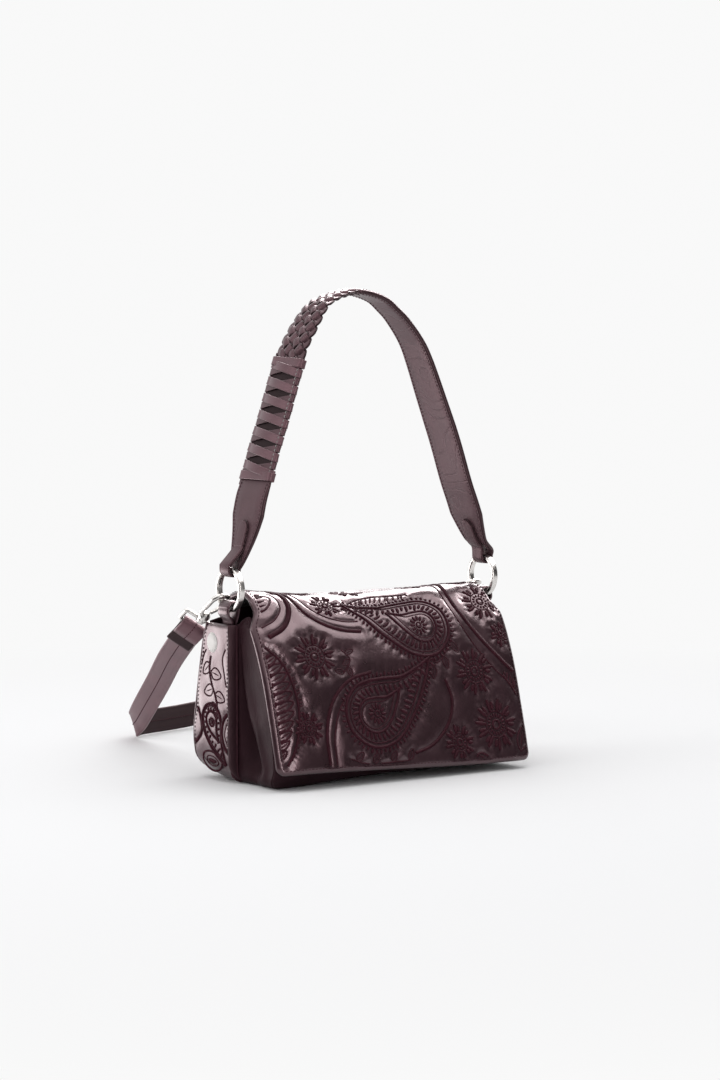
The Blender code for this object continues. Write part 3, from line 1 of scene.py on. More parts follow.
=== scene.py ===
"""The looks of a small leather shoulder bag: embroidered flap, folded gussets, laced and braided handle.

All sizes are in metres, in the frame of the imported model: X to the bag's right, Y to its back, Z up.
Pattern places are in millimetres on the flattened leather.
"""

import math

import bmesh
import bpy
import numpy as np
from mathutils import Matrix, Vector, kdtree


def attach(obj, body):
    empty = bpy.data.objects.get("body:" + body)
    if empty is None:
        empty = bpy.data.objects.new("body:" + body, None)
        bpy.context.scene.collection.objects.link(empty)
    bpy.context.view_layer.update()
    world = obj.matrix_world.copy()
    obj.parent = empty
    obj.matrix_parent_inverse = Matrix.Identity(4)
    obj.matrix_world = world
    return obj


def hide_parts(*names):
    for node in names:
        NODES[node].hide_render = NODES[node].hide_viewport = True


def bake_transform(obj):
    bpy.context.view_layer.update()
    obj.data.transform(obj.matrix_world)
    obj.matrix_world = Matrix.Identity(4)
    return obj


bl_info = {
    "name": "Embroidered Shoulder Bag",
    "version": (1, 0, 0),
    "blender": (4, 5, 0),
    "location": "View3D > Sidebar > Bag",
    "description": "Builds the leather, embroidery, braid and hardware of a small shoulder bag",
    "category": "Add Mesh",
}

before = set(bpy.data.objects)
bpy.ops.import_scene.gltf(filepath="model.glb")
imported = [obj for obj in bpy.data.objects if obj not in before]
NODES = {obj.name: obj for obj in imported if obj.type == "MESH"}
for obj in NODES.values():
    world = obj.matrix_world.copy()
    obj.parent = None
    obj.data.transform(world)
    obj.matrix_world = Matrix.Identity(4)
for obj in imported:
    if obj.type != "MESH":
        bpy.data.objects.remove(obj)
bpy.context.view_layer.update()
MM = 0.001

# The body that most pieces ride on, and a leather name passed along with it
ON_BAG = ("bag", "bag_leather")
ON_HANDLE = ("handle", "strap_leather")

# The walls of the two compartments
REAR_WIDTH = 0.235
FRONT_WIDTH = 0.224
WALL_HEIGHT = 0.116
ROOT_HEIGHT = 0.126
ROOT_HALF_WIDTH = 0.102
SEAM_Y = 0.006
DEPTH = 0.052
CORNER_RADIUS = 0.016
FRONT_CORNER_RADIUS = 0.009
LEATHER = 0.002
GAP = 0.0003
LIP = 0.0022
PIPING_RADIUS = 0.0015
BELLOWS_DEPTH = 0.013
REAR_LIFT = 0.007
LIFT_HEIGHT = 0.060
STUD_PLACE = (0.0295, 0.1015)
GUSSET_RUN = 0.045
STITCH_TOP = 0.112
LINING_TOP = 0.1102
TAPE_HEIGHT = 0.1112
TAPE_HALF_LENGTH = 0.106
EDGE_STITCH_PITCH = 0.0030
STITCH_LIFT = 0.0001
REAR_SHARES = ((0.0, 0.80), (0.07, 0.92), (0.14, 0.97), (0.28, 1.0), (0.55, 0.91), (0.88, 0.75), (1.0, 0.64))
REAR_ROOT_SHARE = 0.61
FRONT_SHARES = (
    (0.0, 0.90), (0.08, 0.965), (0.15, 0.985), (0.28, 0.955), (0.40, 0.88), (0.70, 0.68), (0.90, 0.48),
    (1.0, 0.36),
)
FOLD_SHARES = ((0.0, 0.72), (0.12, 0.72), (0.36, 0.47), (0.60, 0.28), (0.85, 0.22), (1.0, 0.20))
VALLEY_SHARES = ((0.0, 0.06), (0.12, 0.55), (0.45, 1.0), (0.75, 0.5), (0.93, 0.08), (1.0, 0.08))

# The flap
FLAP_ROOT = (0.0385, 0.1280)
FLAP_TOP_SHARES = ((0.0, 0.0), (0.12, 0.42), (0.34, 0.80), (0.62, 0.98), (0.84, 0.80), (1.0, 0.30))
FLAP_TOP_REACH = 0.0465
FLAP_TOP_RISE = 0.0108
FLAP_FRONT_SHARES = ((0.16, 0.085), (0.37, 0.22), (0.60, 0.43), (0.83, 0.725), (0.97, 0.93), (1.0, 1.0))
FLAP_FRONT_REACH = 0.0465
FLAP_FRONT_DROP = 0.1190
FLAP_THICKNESS = 0.0044
FLAP_CORNER = 0.0065
FLAP_SLACK = 0.0060
FLAP_TOP_HALF = 0.1055
FLAP_CREASE_HALF = 0.1068
FLAP_FRONT_HALF = 0.1138
FLAP_STITCH_INSET = 3.4
FLAP_DAISIES = (
    (-68, 44, 17.5, 20), (72, 62, 17.0, 20), (84, 101, 19.0, 22), (-84, 96, 12.5, 16), (48, 112, 13.5, 16),
    (95, 8, 16.5, 18), (-44, 0, 13.0, 14), (104, 36, 10.0, 12), (-10, -27, 14.5, 16), (52, -30, 13.0, 14),
)
FLAP_ROWS = 190
FLAP_COLUMNS = 230
FLAP_EDGE_RADIUS = 0.0024
FLAP_STITCH_PITCH = 0.0031
THREAD_SINK = 0.16
RELIEF_STEP = 1.0
RELIEF_NEAR = 1.5
RELIEF_FAR = 5.0
BASE_LIFT = 0.0042
BASE_TUCK = 0.0060
SAG_PLACES = (
    (-108, 1.6), (-78, -1.4), (-56, -4.0), (-23, -5.8), (-4, -6.0), (25, -5.2), (62, -3.4), (104, -2.4),
)

# Rings, loops and handle
RING_PLACE = (0.1148, 0.010, 0.1415)
RING_OUTER_RADIUS = 0.0165
RING_THICKNESS = 0.003
RING_HALF_WIDTH = 0.0025
LOOP_WIDTH = 0.014
LOOP_LEG_WIDTH = 0.0125
HANDLE_RISE = 0.2155
HANDLE_THICKNESS = 0.0036
HANDLE_WIDTH = 0.039
TAB_WIDTH = 0.0125
TAB_THICKNESS = 0.0022
TONGUE_HALF_WIDTH = 0.0064
FOLD_STEPS = 17
STRAP_SPREAD = 0.040
STRAP_SEAM_INSET = 0.0026
TONGUE_TIP = 0.0060
TONGUE_SEAM_INSET = 0.0017
TONGUE_STITCH_PITCH = 0.0024
TONGUE_RIM_RADIUS = 0.00055
BACKWARD = (0.0, 1.0, 0.0)
HANDLE_SHARES = (
    (-0.919, 0.131), (-0.882, 0.198), (-0.842, 0.298), (-0.800, 0.365), (-0.743, 0.465), (-0.674, 0.566),
    (-0.590, 0.701), (-0.521, 0.802), (-0.448, 0.870), (-0.359, 0.938), (-0.292, 0.967), (-0.174, 0.991),
    (-0.043, 1.0), (0.126, 0.977), (0.226, 0.939), (0.299, 0.904), (0.403, 0.835), (0.472, 0.765),
    (0.578, 0.625), (0.682, 0.484), (0.774, 0.341), (0.828, 0.269), (0.880, 0.198), (0.935, 0.134),
    (0.975, 0.112), (1.030, 0.090),
)
LEFT_WIDTH_SHARES = ((0.0, 1.0), (0.42, 1.0), (0.47, 0.93), (1.0, 0.93))
RIGHT_WIDTH_SHARES = (
    (0.0, 1.0), (0.45, 0.97), (0.56, 0.92), (0.66, 0.86), (0.75, 0.78), (0.85, 0.70), (1.0, 0.65),
)
BRAID_WIDTH_SHARES = ((0.0, 1.0), (0.38, 1.0), (0.62, 0.82), (0.8, 0.64), (1.0, 0.54))
LACING_START = 0.0685
LACING_LENGTH = 0.0895
LACING_TURNS = 7
LACING_CORE = 0.0008
THONG_STEPS = 56
THONG_CROSSING = 0.44
THONG_TURNING = 0.06
CUFF_STEPS = 72
BRAID_LENGTH = 0.0825
BRAID_WIDTH = 0.036
BRAID_STRANDS = 5

# Hooks and strap
HOOK_ANGLE = math.radians(122)
HOOK_HALF_WIDTH = 0.0063
HOOK_NOSE = 0.01665
HOOK_SHANK = 0.0175
HOOK_COLLAR_START = 0.0395
HOOK_COLLAR_LENGTH = 0.0045
HOOK_PIN_LENGTH = 0.0052
HOOK_WIRE_RADIUS = 0.0018
GATE_RADIUS = 0.0014
GATE_KNOB_RADIUS = 0.0023
SWIVEL_TURN = math.radians(42)
SWIVEL_WIRE_RADIUS = 0.0015
SWIVEL_INNER_WIDTH = 0.0225
SWIVEL_DEPTH = 0.0125
STRAP_WIDTH = 0.020
STRAP_THICKNESS = 0.0022
STRAP_ROUTE = (
    (-0.1115, 0.0810, 0.0985), (-0.0975, 0.1230, 0.0790), (-0.0805, 0.1680, 0.0565),
    (-0.0655, 0.2120, 0.0335), (-0.0550, 0.2420, 0.0180), (-0.0490, 0.2570, 0.0114),
    (-0.0350, 0.2660, 0.0112), (0.0050, 0.2790, 0.0112), (0.0550, 0.2900, 0.0134),
    (0.1000, 0.2890, 0.0134), (0.1350, 0.2660, 0.0140), (0.1490, 0.2300, 0.0290),
    (0.1480, 0.1880, 0.0500), (0.1390, 0.1400, 0.0740), (0.1250, 0.0950, 0.0955),
)
STRAP_ACROSS = (
    (0.70, -0.46, -0.55), (0.69, -0.50, -0.53), (0.66, -0.50, -0.56), (0.60, -0.46, -0.65),
    (0.45, -0.38, -0.80), (0.15, -0.20, -0.97), (0.0, 0.0, -1.0), (0.0, 0.0, -1.0), (0.0, 0.0, -1.0),
    (0.0, 0.0, -1.0), (-0.02, -0.22, -0.97), (-0.20, -0.40, -0.89), (-0.45, -0.46, -0.77),
    (-0.62, -0.42, -0.66), (-0.70, -0.38, -0.60),
)
BUCKLE_ROUTE_SHARE = 0.575

# The stage and the photograph's view
BACKDROP = (0.945, 0.945, 0.945, 1.0)
SKY = (0.63, 0.63, 0.64, 1.0)
FLOOR_REACH = 12.0
CAMERA_TARGET = (-0.0070, 0.0, 0.1736)
CAMERA_DISTANCE = 2.226
CAMERA_AZIMUTH = math.radians(35.0)
CAMERA_HEIGHT = math.radians(4.0)
CAMERA_LENS = 150.1


# Numbers and colours in a material's graph
class Number:
    """A socket that carries a number; sums and products on it add Math nodes."""

    def __init__(self, finish, socket):
        self.finish = finish
        self.socket = socket

    def math(self, operation, *others):
        sockets = {0: self, **dict(enumerate(others, 1))}
        return self.finish.number("ShaderNodeMath", {"operation": operation}, sockets)

    def __add__(self, other):
        return self.math("ADD", other)

    def __sub__(self, other):
        return self.math("SUBTRACT", other)

    def __mul__(self, other):
        return self.math("MULTIPLY", other)

    def __truediv__(self, other):
        return self.math("DIVIDE", other)

    def clamped(self):
        return self.math("MAXIMUM", 0.0).math("MINIMUM", 1.0)


class Finish:
    """A material whose graph is written as Python."""

    def __init__(self, name, roughness=0.5, metallic=0.0, **constants):
        self.material = bpy.data.materials.new(name)
        self.material.use_nodes = True
        self.tree = self.material.node_tree
        self.shader = self.tree.nodes["Principled BSDF"]
        self.shader.inputs["Roughness"].default_value = roughness
        self.shader.inputs["Metallic"].default_value = metallic
        for socket, value in constants.items():
            self.shader.inputs[socket.replace("_", " ").title().replace("Ior", "IOR")].default_value = value

    def node(self, kind, settings=None, sockets=None):
        made = self.tree.nodes.new(kind)
        for key, value in (settings or {}).items():
            setattr(made, key, value)
        for key, value in (sockets or {}).items():
            self.feed(made.inputs[key], value)
        return made

    def feed(self, socket, value):
        if isinstance(value, Number):
            value = value.socket
        if isinstance(value, bpy.types.NodeSocket):
            self.tree.links.new(value, socket)
        else:
            socket.default_value = value

    def number(self, kind, settings=None, sockets=None, output=0):
        return Number(self, self.node(kind, settings, sockets).outputs[output])

    def place(self, stretch=(1.0, 1.0, 1.0)):
        """Where a point lies on the piece, stretched before a pattern reads it."""
        where = self.node("ShaderNodeTexCoord").outputs["Object"]
        return self.node("ShaderNodeMapping", None, {"Vector": where, "Scale": stretch}).outputs[0]

    def noise(self, scale, detail=3.0, stretch=(1.0, 1.0, 1.0), distortion=0.0):
        sockets = {"Vector": self.place(stretch), "Scale": scale, "Detail": detail, "Distortion": distortion}
        return self.number("ShaderNodeTexNoise", None, sockets)

    def cells(self, scale, feature="F1"):
        sockets = {"Vector": self.place(), "Scale": scale}
        return self.number("ShaderNodeTexVoronoi", {"feature": feature}, sockets)

    def stripes(self, scale, stretch=(1.0, 1.0, 1.0), distortion=0.0, direction="X"):
        settings = {"bands_direction": direction}
        sockets = {"Vector": self.place(stretch), "Scale": scale, "Distortion": distortion, "Detail": 1.0}
        return self.number("ShaderNodeTexWave", settings, sockets, 1)

    def mixed(self, share, one, two):
        """A colour between two colours."""
        mix = self.node("ShaderNodeMix", {"data_type": "RGBA"})
        self.feed(mix.inputs[0], share)
        for socket, colour in ((mix.inputs[6], one), (mix.inputs[7], two)):
            self.feed(socket, (*colour, 1.0) if isinstance(colour, tuple) else colour)
        return mix.outputs[2]

    def bump(self, *layers):
        """Layers of (height, strength, distance), each on top of the last."""
        normal = None
        for height, strength, distance in layers:
            sockets = {"Strength": strength, "Distance": distance, "Height": height}
            if normal:
                sockets["Normal"] = normal
            normal = self.node("ShaderNodeBump", None, sockets).outputs[0]
        self.feed(self.shader.inputs["Normal"], normal)

    def paint(self, colour):
        self.feed(self.shader.inputs["Base Color"], (*colour, 1.0) if isinstance(colour, tuple) else colour)

    def roughen(self, value):
        self.feed(self.shader.inputs["Roughness"], value)


def shade(colour, factor):
    return tuple(min(1.0, c * factor) for c in colour[:3])


def glossy_leather(name, colour, roughness, coat=0.42, shine=0.85):
    """Waxed smooth leather: cloudy colour, hair creases, soft dents and a glassy top coat."""
    made = Finish(
        name, roughness, coat_weight=coat, coat_roughness=0.16, specular_ior_level=shine,
        specular_tint=(1.0, 0.66, 0.72, 1.0),
    )
    clouds = made.noise(38.0, 4.0)
    creases = made.cells(330.0, "DISTANCE_TO_EDGE")
    crinkle = made.noise(240.0, 5.0, distortion=0.6)
    pores = made.noise(1500.0, 2.0)
    dents = made.noise(80.0, 3.0)
    made.paint(made.mixed((clouds * 1.6 - 0.3).clamped(), shade(colour, 0.60), shade(colour, 1.15)))
    made.roughen((clouds * 0.10 + crinkle * 0.10 + (roughness - 0.10)).clamped())
    made.bump((dents, 0.20, 0.0016), (crinkle, 0.22, 0.0008), (creases, 0.10, 0.0004), (pores, 0.06, 0.0002))
    return made.material


def strap_leather(name, colour, roughness, swirl=0.0):
    """Semi-matte strap leather with a faint pressed scroll."""
    made = Finish(
        name, roughness, specular_ior_level=0.42, specular_tint=(1.0, 0.58, 0.64, 1.0), coat_weight=0.05,
        coat_roughness=0.30,
    )
    clouds = made.noise(60.0, 4.0)
    grain = made.cells(900.0, "DISTANCE_TO_EDGE")
    pores = made.noise(2200.0, 2.0)
    made.paint(made.mixed((clouds * 1.5 - 0.3).clamped(), shade(colour, 0.78), shade(colour, 1.22)))
    made.roughen((clouds * 0.14 + grain * 0.10 + (roughness - 0.10)).clamped())
    layers = [(grain, 0.22, 0.0003), (pores, 0.12, 0.0002)]
    if swirl:
        scroll = made.stripes(26.0, distortion=9.0)
        line = ((scroll - 0.5).math("ABSOLUTE") * 6.0).clamped()
        layers.insert(0, (line, swirl, 0.0006))
    made.bump(*layers)
    return made.material


def embroidery_thread(name, colour):
    made = Finish(name, 0.6, specular_ior_level=0.14, specular_tint=(1.0, 0.5, 0.58, 1.0))
    twist = made.noise(2600.0, 2.0)
    run = made.noise(240.0, 2.0)
    made.paint(made.mixed((run * 1.5 - 0.3).clamped(), shade(colour, 0.65), shade(colour, 1.35)))
    made.roughen((twist * 0.2 + 0.45).clamped())
    made.bump((twist, 0.35, 0.0002))
    return made.material


def woven_cloth(name, colour, pitch=2600.0):
    """A twill lining or tape: crossing threads and a dull nap."""
    made = Finish(name, 0.82, specular_ior_level=0.3, sheen_weight=0.15)
    warp = made.stripes(pitch, (0.7, 0.7, 0.0))
    weft = made.stripes(pitch, (0.0, 0.35, 1.0), direction="Z")
    nap = made.noise(900.0, 3.0)
    weave = warp * 0.5 + weft * 0.5
    made.paint(made.mixed((weave * 0.6 + nap * 0.5).clamped(), shade(colour, 0.5), shade(colour, 1.7)))
    made.bump((weave, 0.4, 0.0003), (nap, 0.15, 0.0003))
    return made.material


def plated_metal(name, colour, roughness, metallic=1.0):
    """Nickel plate over tumbled castings: faint ripple, polishing lines and dulled spots."""
    made = Finish(name, roughness, metallic)
    clouds = made.noise(210.0, 4.0)
    lines = made.noise(900.0, 3.0, (1.0, 1.0, 0.08))
    dents = made.noise(330.0, 2.0)
    made.paint(made.mixed((clouds * 1.8 - 0.5).clamped(), shade(colour, 0.80), shade(colour, 1.06)))
    made.roughen((clouds * 0.22 + lines * 0.08 + (roughness - 0.14)).clamped())
    made.bump((dents, 0.14, 0.0006), (lines, 0.05, 0.0002))
    return made.material


def padding_foam(name, colour):
    made = Finish(name, 0.9)
    cells = made.cells(1400.0)
    made.paint(made.mixed(cells.clamped(), shade(colour, 0.8), shade(colour, 1.3)))
    made.bump((cells, 0.4, 0.0005))
    return made.material


# Lines and tables
def smooth_line(points, steps=8):
    """A smooth curve through points, as an array."""
    points = np.asarray(points, float)
    ends = np.vstack([2 * points[0] - points[1], points, 2 * points[-1] - points[-2]])
    made = []
    for i in range(len(points) - 1):
        p0, p1, p2, p3 = ends[i:i + 4]
        for t in np.arange(steps) / steps:
            made.append(
                p1 + (p2 - p0) * (0.5 * t) + (p0 * 2 - p1 * 5 + p2 * 4 - p3) * (0.5 * t * t)
                + (p1 * 3 - p2 * 3 + p3 - p0) * (0.5 * t ** 3)
            )
    return np.array([*made, points[-1]])


def distances(line):
    return np.concatenate([[0.0], np.cumsum(np.linalg.norm(np.diff(line, axis=0), axis=1))])


def read_at(places, run, table):
    """The rows of a table that goes with a line, at distances along the line."""
    return np.stack([np.interp(places, run, column) for column in np.asarray(table).T], -1)


def along(line, places):
    """Points of a line at distances along it."""
    return read_at(places, distances(line), line)


def even(line, count):
    return along(line, np.linspace(0.0, distances(line)[-1], count))


def part_of(line, start, end, count):
    return along(line, np.linspace(start, end, count))


def smooth_table(shares):
    """A table of shares read as a smooth curve instead of straight steps."""
    line = smooth_line(shares, 6)
    return lambda at: np.interp(at, line[:, 0], line[:, 1])


def unit(vectors):
    return vectors / np.maximum(np.linalg.norm(vectors, axis=-1, keepdims=True), 1e-12)


def tangents(line):
    return unit(np.gradient(line, axis=0))


def square_to(way, across):
    """The part of each vector that is square to the way, at unit length."""
    return unit(across - way * (across * way).sum(1, keepdims=True))


def ease(value):
    value = np.clip(value, 0.0, 1.0)
    return value * value * (3 - 2 * value)


WAVES = ((1.0, 0.31, 0.4), (-0.42, 0.93, 2.1), (0.71, 0.77, 4.4), (1.63, -0.58, 1.3))


def ripple(a, b, scale, seed=0.0):
    """A smooth unevenness from a few crossed waves, between about -1 and 1."""
    total = 0.0
    for k, (p, q, phase) in enumerate(WAVES):
        total = total + np.sin((a * p + b * q) * (1 + 0.37 * k) / scale + phase + seed * (k + 1))
    return total / 3.0


# Meshes
def add_mesh(name, points, faces, finishes, body, marks=None, smooth=True):
    """A piece from points and faces, riding on a body of the model."""
    mesh = bpy.data.meshes.new(name)
    mesh.from_pydata([tuple(p) for p in np.asarray(points, float).reshape(-1, 3).tolist()], [], faces)
    mesh.update()
    for finish in finishes if isinstance(finishes, (list, tuple)) else [finishes]:
        mesh.materials.append(finish)
    if marks is not None:
        mesh.polygons.foreach_set("material_index", np.asarray(marks, np.int32))
    mesh.polygons.foreach_set("use_smooth", np.full(len(mesh.polygons), smooth))
    mesh.update()
    made = bpy.data.objects.new(name, mesh)
    bpy.context.scene.collection.objects.link(made)
    if body:
        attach(made, body)
    return made


def turn_faces(made, merge=False):
    """Turns a closed mesh's faces outwards, and where asked joins the points that coincide first."""
    graph = bmesh.new()
    graph.from_mesh(made.data)
    if merge:
        bmesh.ops.remove_doubles(graph, verts=graph.verts[:], dist=0.00001)
    bmesh.ops.recalc_face_normals(graph, faces=graph.faces[:])
    graph.to_mesh(made.data)
    graph.free()
    return made


def grid_faces(rows, columns, start=0, round_columns=False):
    """Faces over a grid of points that are stored row by row."""
    faces = []
    last = columns if round_columns else columns - 1
    for i in range(rows - 1):
        for j in range(last):
            k = (j + 1) % columns
            faces.append((
                start + i * columns + j, start + i * columns + k,
                start + (i + 1) * columns + k, start + (i + 1) * columns + j,
            ))
    return faces


def pillow(name, middle, up, down, finish, body, lining=None):
    """A soft sheet: a grid of middle points with the leather's two faces, which meet round the border."""
    rows, columns = middle.shape[:2]
    top = middle + up
    low = middle + down
    index = np.full((rows, columns), -1)
    points = list(top.reshape(-1, 3))
    for i in range(rows):
        for j in range(columns):
            if i in (0, rows - 1) or j in (0, columns - 1):
                index[i, j] = i * columns + j
            else:
                index[i, j] = len(points)
                points.append(low[i, j])
    faces = grid_faces(rows, columns)
    marks = [0] * len(faces)
    for i in range(rows - 1):
        for j in range(columns - 1):
            faces.append((
                int(index[i, j]), int(index[i + 1, j]), int(index[i + 1, j + 1]), int(index[i, j + 1]),
            ))
            inner = 3 <= j < columns - 4 and 1 <= i < rows - 4
            marks.append(1 if lining and inner else 0)
    finishes = [finish, lining] if lining else [finish]
    return turn_faces(add_mesh(name, points, faces, finishes, body, marks))


def edge_round(distance, radius, thickness):
    """Half the thickness of a sheet at a distance from its border, rounded over a radius."""
    share = np.clip(distance / radius, 0.0, 1.0)
    return thickness / 2 * np.sqrt(np.clip(1.0 - (1.0 - share) ** 2, 0.0, 1.0))


def from_border(points, axis):
    """How far each row or column of a grid of points lies from the nearer border."""
    steps = np.linalg.norm(np.diff(points, axis=axis), axis=2).mean(1 - axis)
    run = np.concatenate([[0.0], np.cumsum(steps)])
    return np.minimum(run, run[-1] - run)


def sheet(name, points, thickness, finish, body, slot, radius=0.0012):
    """A leather panel through a grid of middle points, with rounded edges."""
    near = np.minimum(from_border(points, 0)[:, None], from_border(points, 1)[None, :])
    half = edge_round(near, radius, thickness)[..., None]
    normal = unit(np.cross(np.gradient(points, axis=0), np.gradient(points, axis=1)))
    return pillow(name, points, normal * half, -normal * half, finish, body)


def bordered(count, first=0.0004, second=0.0012, length=1.0):
    """Shares from 0 to 1 with two close steps at each end, for a rounded border."""
    a = first / length
    b = second / length
    return np.concatenate([[0.0, a, b], np.linspace(b, 1 - b, count)[1:-1], [1 - b, 1 - a, 1.0]])


def band(name, line, across, half_widths, half_thicknesses, finish, body, slot, section, edge=None):
    """A strap swept along a line; the section gives its outline for a half width and half thickness."""
    way = tangents(line)
    side = square_to(way, across)
    through = np.cross(way, side)
    points = []
    shape = None
    for p, s, t, w, h in zip(line, side, through, half_widths, half_thicknesses):
        shape = section(w, h)
        for a, b, _ in shape:
            points.append(p + s * a + t * b)
    columns = len(shape)
    faces = grid_faces(len(line), columns, 0, True)
    marks = [shape[k % columns][2] if edge else 0 for k in range(len(faces))] + [0, 0]
    faces.append(tuple(range(columns)))
    faces.append(tuple(reversed(range(len(points) - columns, len(points)))))
    finishes = [finish, edge] if edge else [finish]
    return turn_faces(add_mesh(name, points, faces, finishes, body, marks))


def strap_section(w, h):
    """A stitched strap: painted rounded edges, a groove by each seam and a slight crown."""
    groove = min(STRAP_SEAM_INSET, w * 0.3)
    dip = h * 0.16
    top = [
        (-w, 0.0), (-w + h * 0.12, h * 0.62), (-w + h * 0.55, h * 0.94), (-w + groove * 0.72, h),
        (-w + groove, h - dip), (-w + groove * 1.35, h), (-w * 0.45, h * 1.05), (0.0, h * 1.08),
    ]
    upper = [*top, *((-a, b) for a, b in reversed(top[:-1]))]
    outline = [*upper, *((a, -b) for a, b in reversed(upper[1:-1]))]
    painted = (0, 1, len(upper) - 2, len(upper) - 1, len(outline) - 1)
    return [(a, b, int(k in painted)) for k, (a, b) in enumerate(outline)]


def folded_section(w, h):
    """A strap folded from one piece: no painted edge, and its inner face takes the darker finish, painted
    shade where the far run of the strap lies in shadow.
    """
    return [(a, b, 1 if b < -0.2 * h else 0) for a, b, _ in strap_section(w, h)]


def oval_spot(k, count, across, through):
    """One of the places round an oval of half width and half height 1; lower powers make it squarer."""
    c, s = math.cos(2 * math.pi * k / count), math.sin(2 * math.pi * k / count)
    return math.copysign(abs(c) ** across, c), math.copysign(abs(s) ** through, s)


def soft_section(w, h):
    """A soft turned band: fat in the middle with round edges."""
    spots = [oval_spot(k, 14, 0.55, 0.75) for k in range(14)]
    return [(w * a, h * b, 0) for a, b in spots]


def thong_section(w, h):
    """A flat thong with turned edges: two low ridges with a shallow hollow between them."""
    left = [
        (-w, 0.0), (-w * 0.96, h * 0.7), (-w * 0.84, h * 1.05), (-w * 0.66, h * 0.92), (-w * 0.3, h * 0.82),
    ]
    upper = [*left, *((-a, b) for a, b in reversed(left))]
    return [(a, b, 0) for a, b in upper] + [(a, -b * 0.7, 0) for a, b in reversed(upper[1:-1])]


def strand_section(w, h):
    """A plump braid strand, high in the middle, with thin edges marked for painted shade where it dives under
    the next.
    """
    spots = [oval_spot(k, 20, 1.0, 0.6) for k in range(20)]
    return [(w * a, h * b, 1 if (k + 2) % 10 < 4 else 0) for k, (a, b) in enumerate(spots)]


def wire(name, line, radii, finish, body, slot, sides=10, closed=False):
    """A round wire along a line of points, with round caps unless it is closed."""
    line = np.asarray(line, float)
    count = len(line)
    radii = np.broadcast_to(np.asarray(radii, float), (count,))
    way = unit(np.roll(line, -1, 0) - np.roll(line, 1, 0)) if closed else tangents(line)
    guide = np.array([0.0, 0.0, 1.0]) if abs(way[0][2]) < 0.9 else np.array([1.0, 0.0, 0.0])
    side = unit(np.cross(way[0], guide))
    points = []
    for i in range(count):
        side = unit(side - way[i] * np.dot(side, way[i]))
        other = np.cross(way[i], side)
        for k in range(sides):
            angle = 2 * math.pi * k / sides
            points.append(line[i] + (side * math.cos(angle) + other * math.sin(angle)) * radii[i])
    faces = grid_faces(count, sides, 0, True)
    if closed:
        first = np.array(points[:sides])
        shift = int(np.argmin(np.linalg.norm(first - points[-sides], axis=1)))
        for k in range(sides):
            a, b = (count - 1) * sides + k, (count - 1) * sides + (k + 1) % sides
            faces.append((a, b, (k + 1 + shift) % sides, (k + shift) % sides))
    else:
        ends = (
            (0, line[0] - way[0] * radii[0] * 0.5, 1),
            (count - 1, line[-1] + way[-1] * radii[-1] * 0.5, -1),
        )
        for row, tip, turn in ends:
            points.append(tip)
            for k in range(sides):
                a, b = row * sides + k, row * sides + (k + 1) % sides
                faces.append((a, b, len(points) - 1)[::turn])
    return turn_faces(add_mesh(name, points, faces, finish, body))


def lathe(name, profile, place, finish, body, steps=48, closed=False):
    """A turned piece from a profile of (radius, height) about a matrix's Z axis."""
    points = []
    for k in range(steps):
        angle = 2 * math.pi * k / steps
        for r, z in profile:
            points.append(place @ Vector((r * math.cos(angle), r * math.sin(angle), z)))
    columns = len(profile)
    faces = []
    for k in range(steps):
        n = (k + 1) % steps
        for j in range(columns if closed else columns - 1):
            m = (j + 1) % columns
            faces.append((k * columns + j, k * columns + m, n * columns + m, n * columns + j))
    return turn_faces(add_mesh(name, points, faces, finish, body), merge=True)


def stitches(name, line, normals, finish, body, slot, pitch=0.0028, share=0.72, radius=0.00032):
    """A row of thread stitches that dip into the leather at their ends."""
    run = distances(line)
    count = max(1, int(run[-1] / pitch))
    bows = np.array([-1.0, -0.62, 0.0, 0.62, 1.0])
    heights = np.array([-1.0, 0.45, 0.8, 0.45, -1.0])
    rows, sides = len(bows), 6
    middles = (np.arange(count) + 0.5) * run[-1] / count
    places = (middles[:, None] + bows[None, :] * pitch * share / 2).reshape(-1)
    ups = read_at(places, run, normals).reshape(count, rows, 3)
    spots = read_at(places, run, line).reshape(count, rows, 3)
    spots = spots + ups * (heights[None, :, None] * radius + STITCH_LIFT)
    way = unit(spots[:, -1] - spots[:, 0])[:, None, :]
    side = unit(np.cross(ups, np.broadcast_to(way, ups.shape)))
    rings = []
    for k in range(sides):
        angle = math.pi * k / (sides // 2)
        rings.append(spots + (side * math.cos(angle) + ups * math.sin(angle)) * radius)
    points = np.stack(rings, 2).reshape(-1, 3)
    faces = []
    for n in range(count):
        faces += grid_faces(rows, sides, n * rows * sides, True)
    return add_mesh(name, points, faces, finish, body)


# The walls' outlines
rear_depth = smooth_table(REAR_SHARES)
front_depth = smooth_table(FRONT_SHARES)
fold_place = smooth_table(FOLD_SHARES)
valley_depth = smooth_table(VALLEY_SHARES)


def rear_y(z):
    over = np.clip((z - WALL_HEIGHT) / (ROOT_HEIGHT - WALL_HEIGHT), 0.0, 1.0)
    share = rear_depth(np.minimum(z / WALL_HEIGHT, 1.0))
    return SEAM_Y + DEPTH * (share + (REAR_ROOT_SHARE - REAR_SHARES[-1][1]) * over)


def front_y(z):
    return SEAM_Y - DEPTH * front_depth(z / WALL_HEIGHT)


def half_at(z, half_width, corner):
    z = np.minimum(z, corner)
    return half_width - corner + np.sqrt(np.maximum(0.0, corner ** 2 - (corner - z) ** 2))


def lifted(points):
    """The back of the base curves up a little from the floor."""
    points = np.array(points, float)
    reach = np.clip((points[..., 1] - SEAM_Y) / DEPTH - 0.25, 0.0, 0.75) / 0.75
    points[..., 2] += REAR_LIFT * reach ** 1.5 * np.clip(1.0 - points[..., 2] / LIFT_HEIGHT, 0.0, 1.0)
    return points


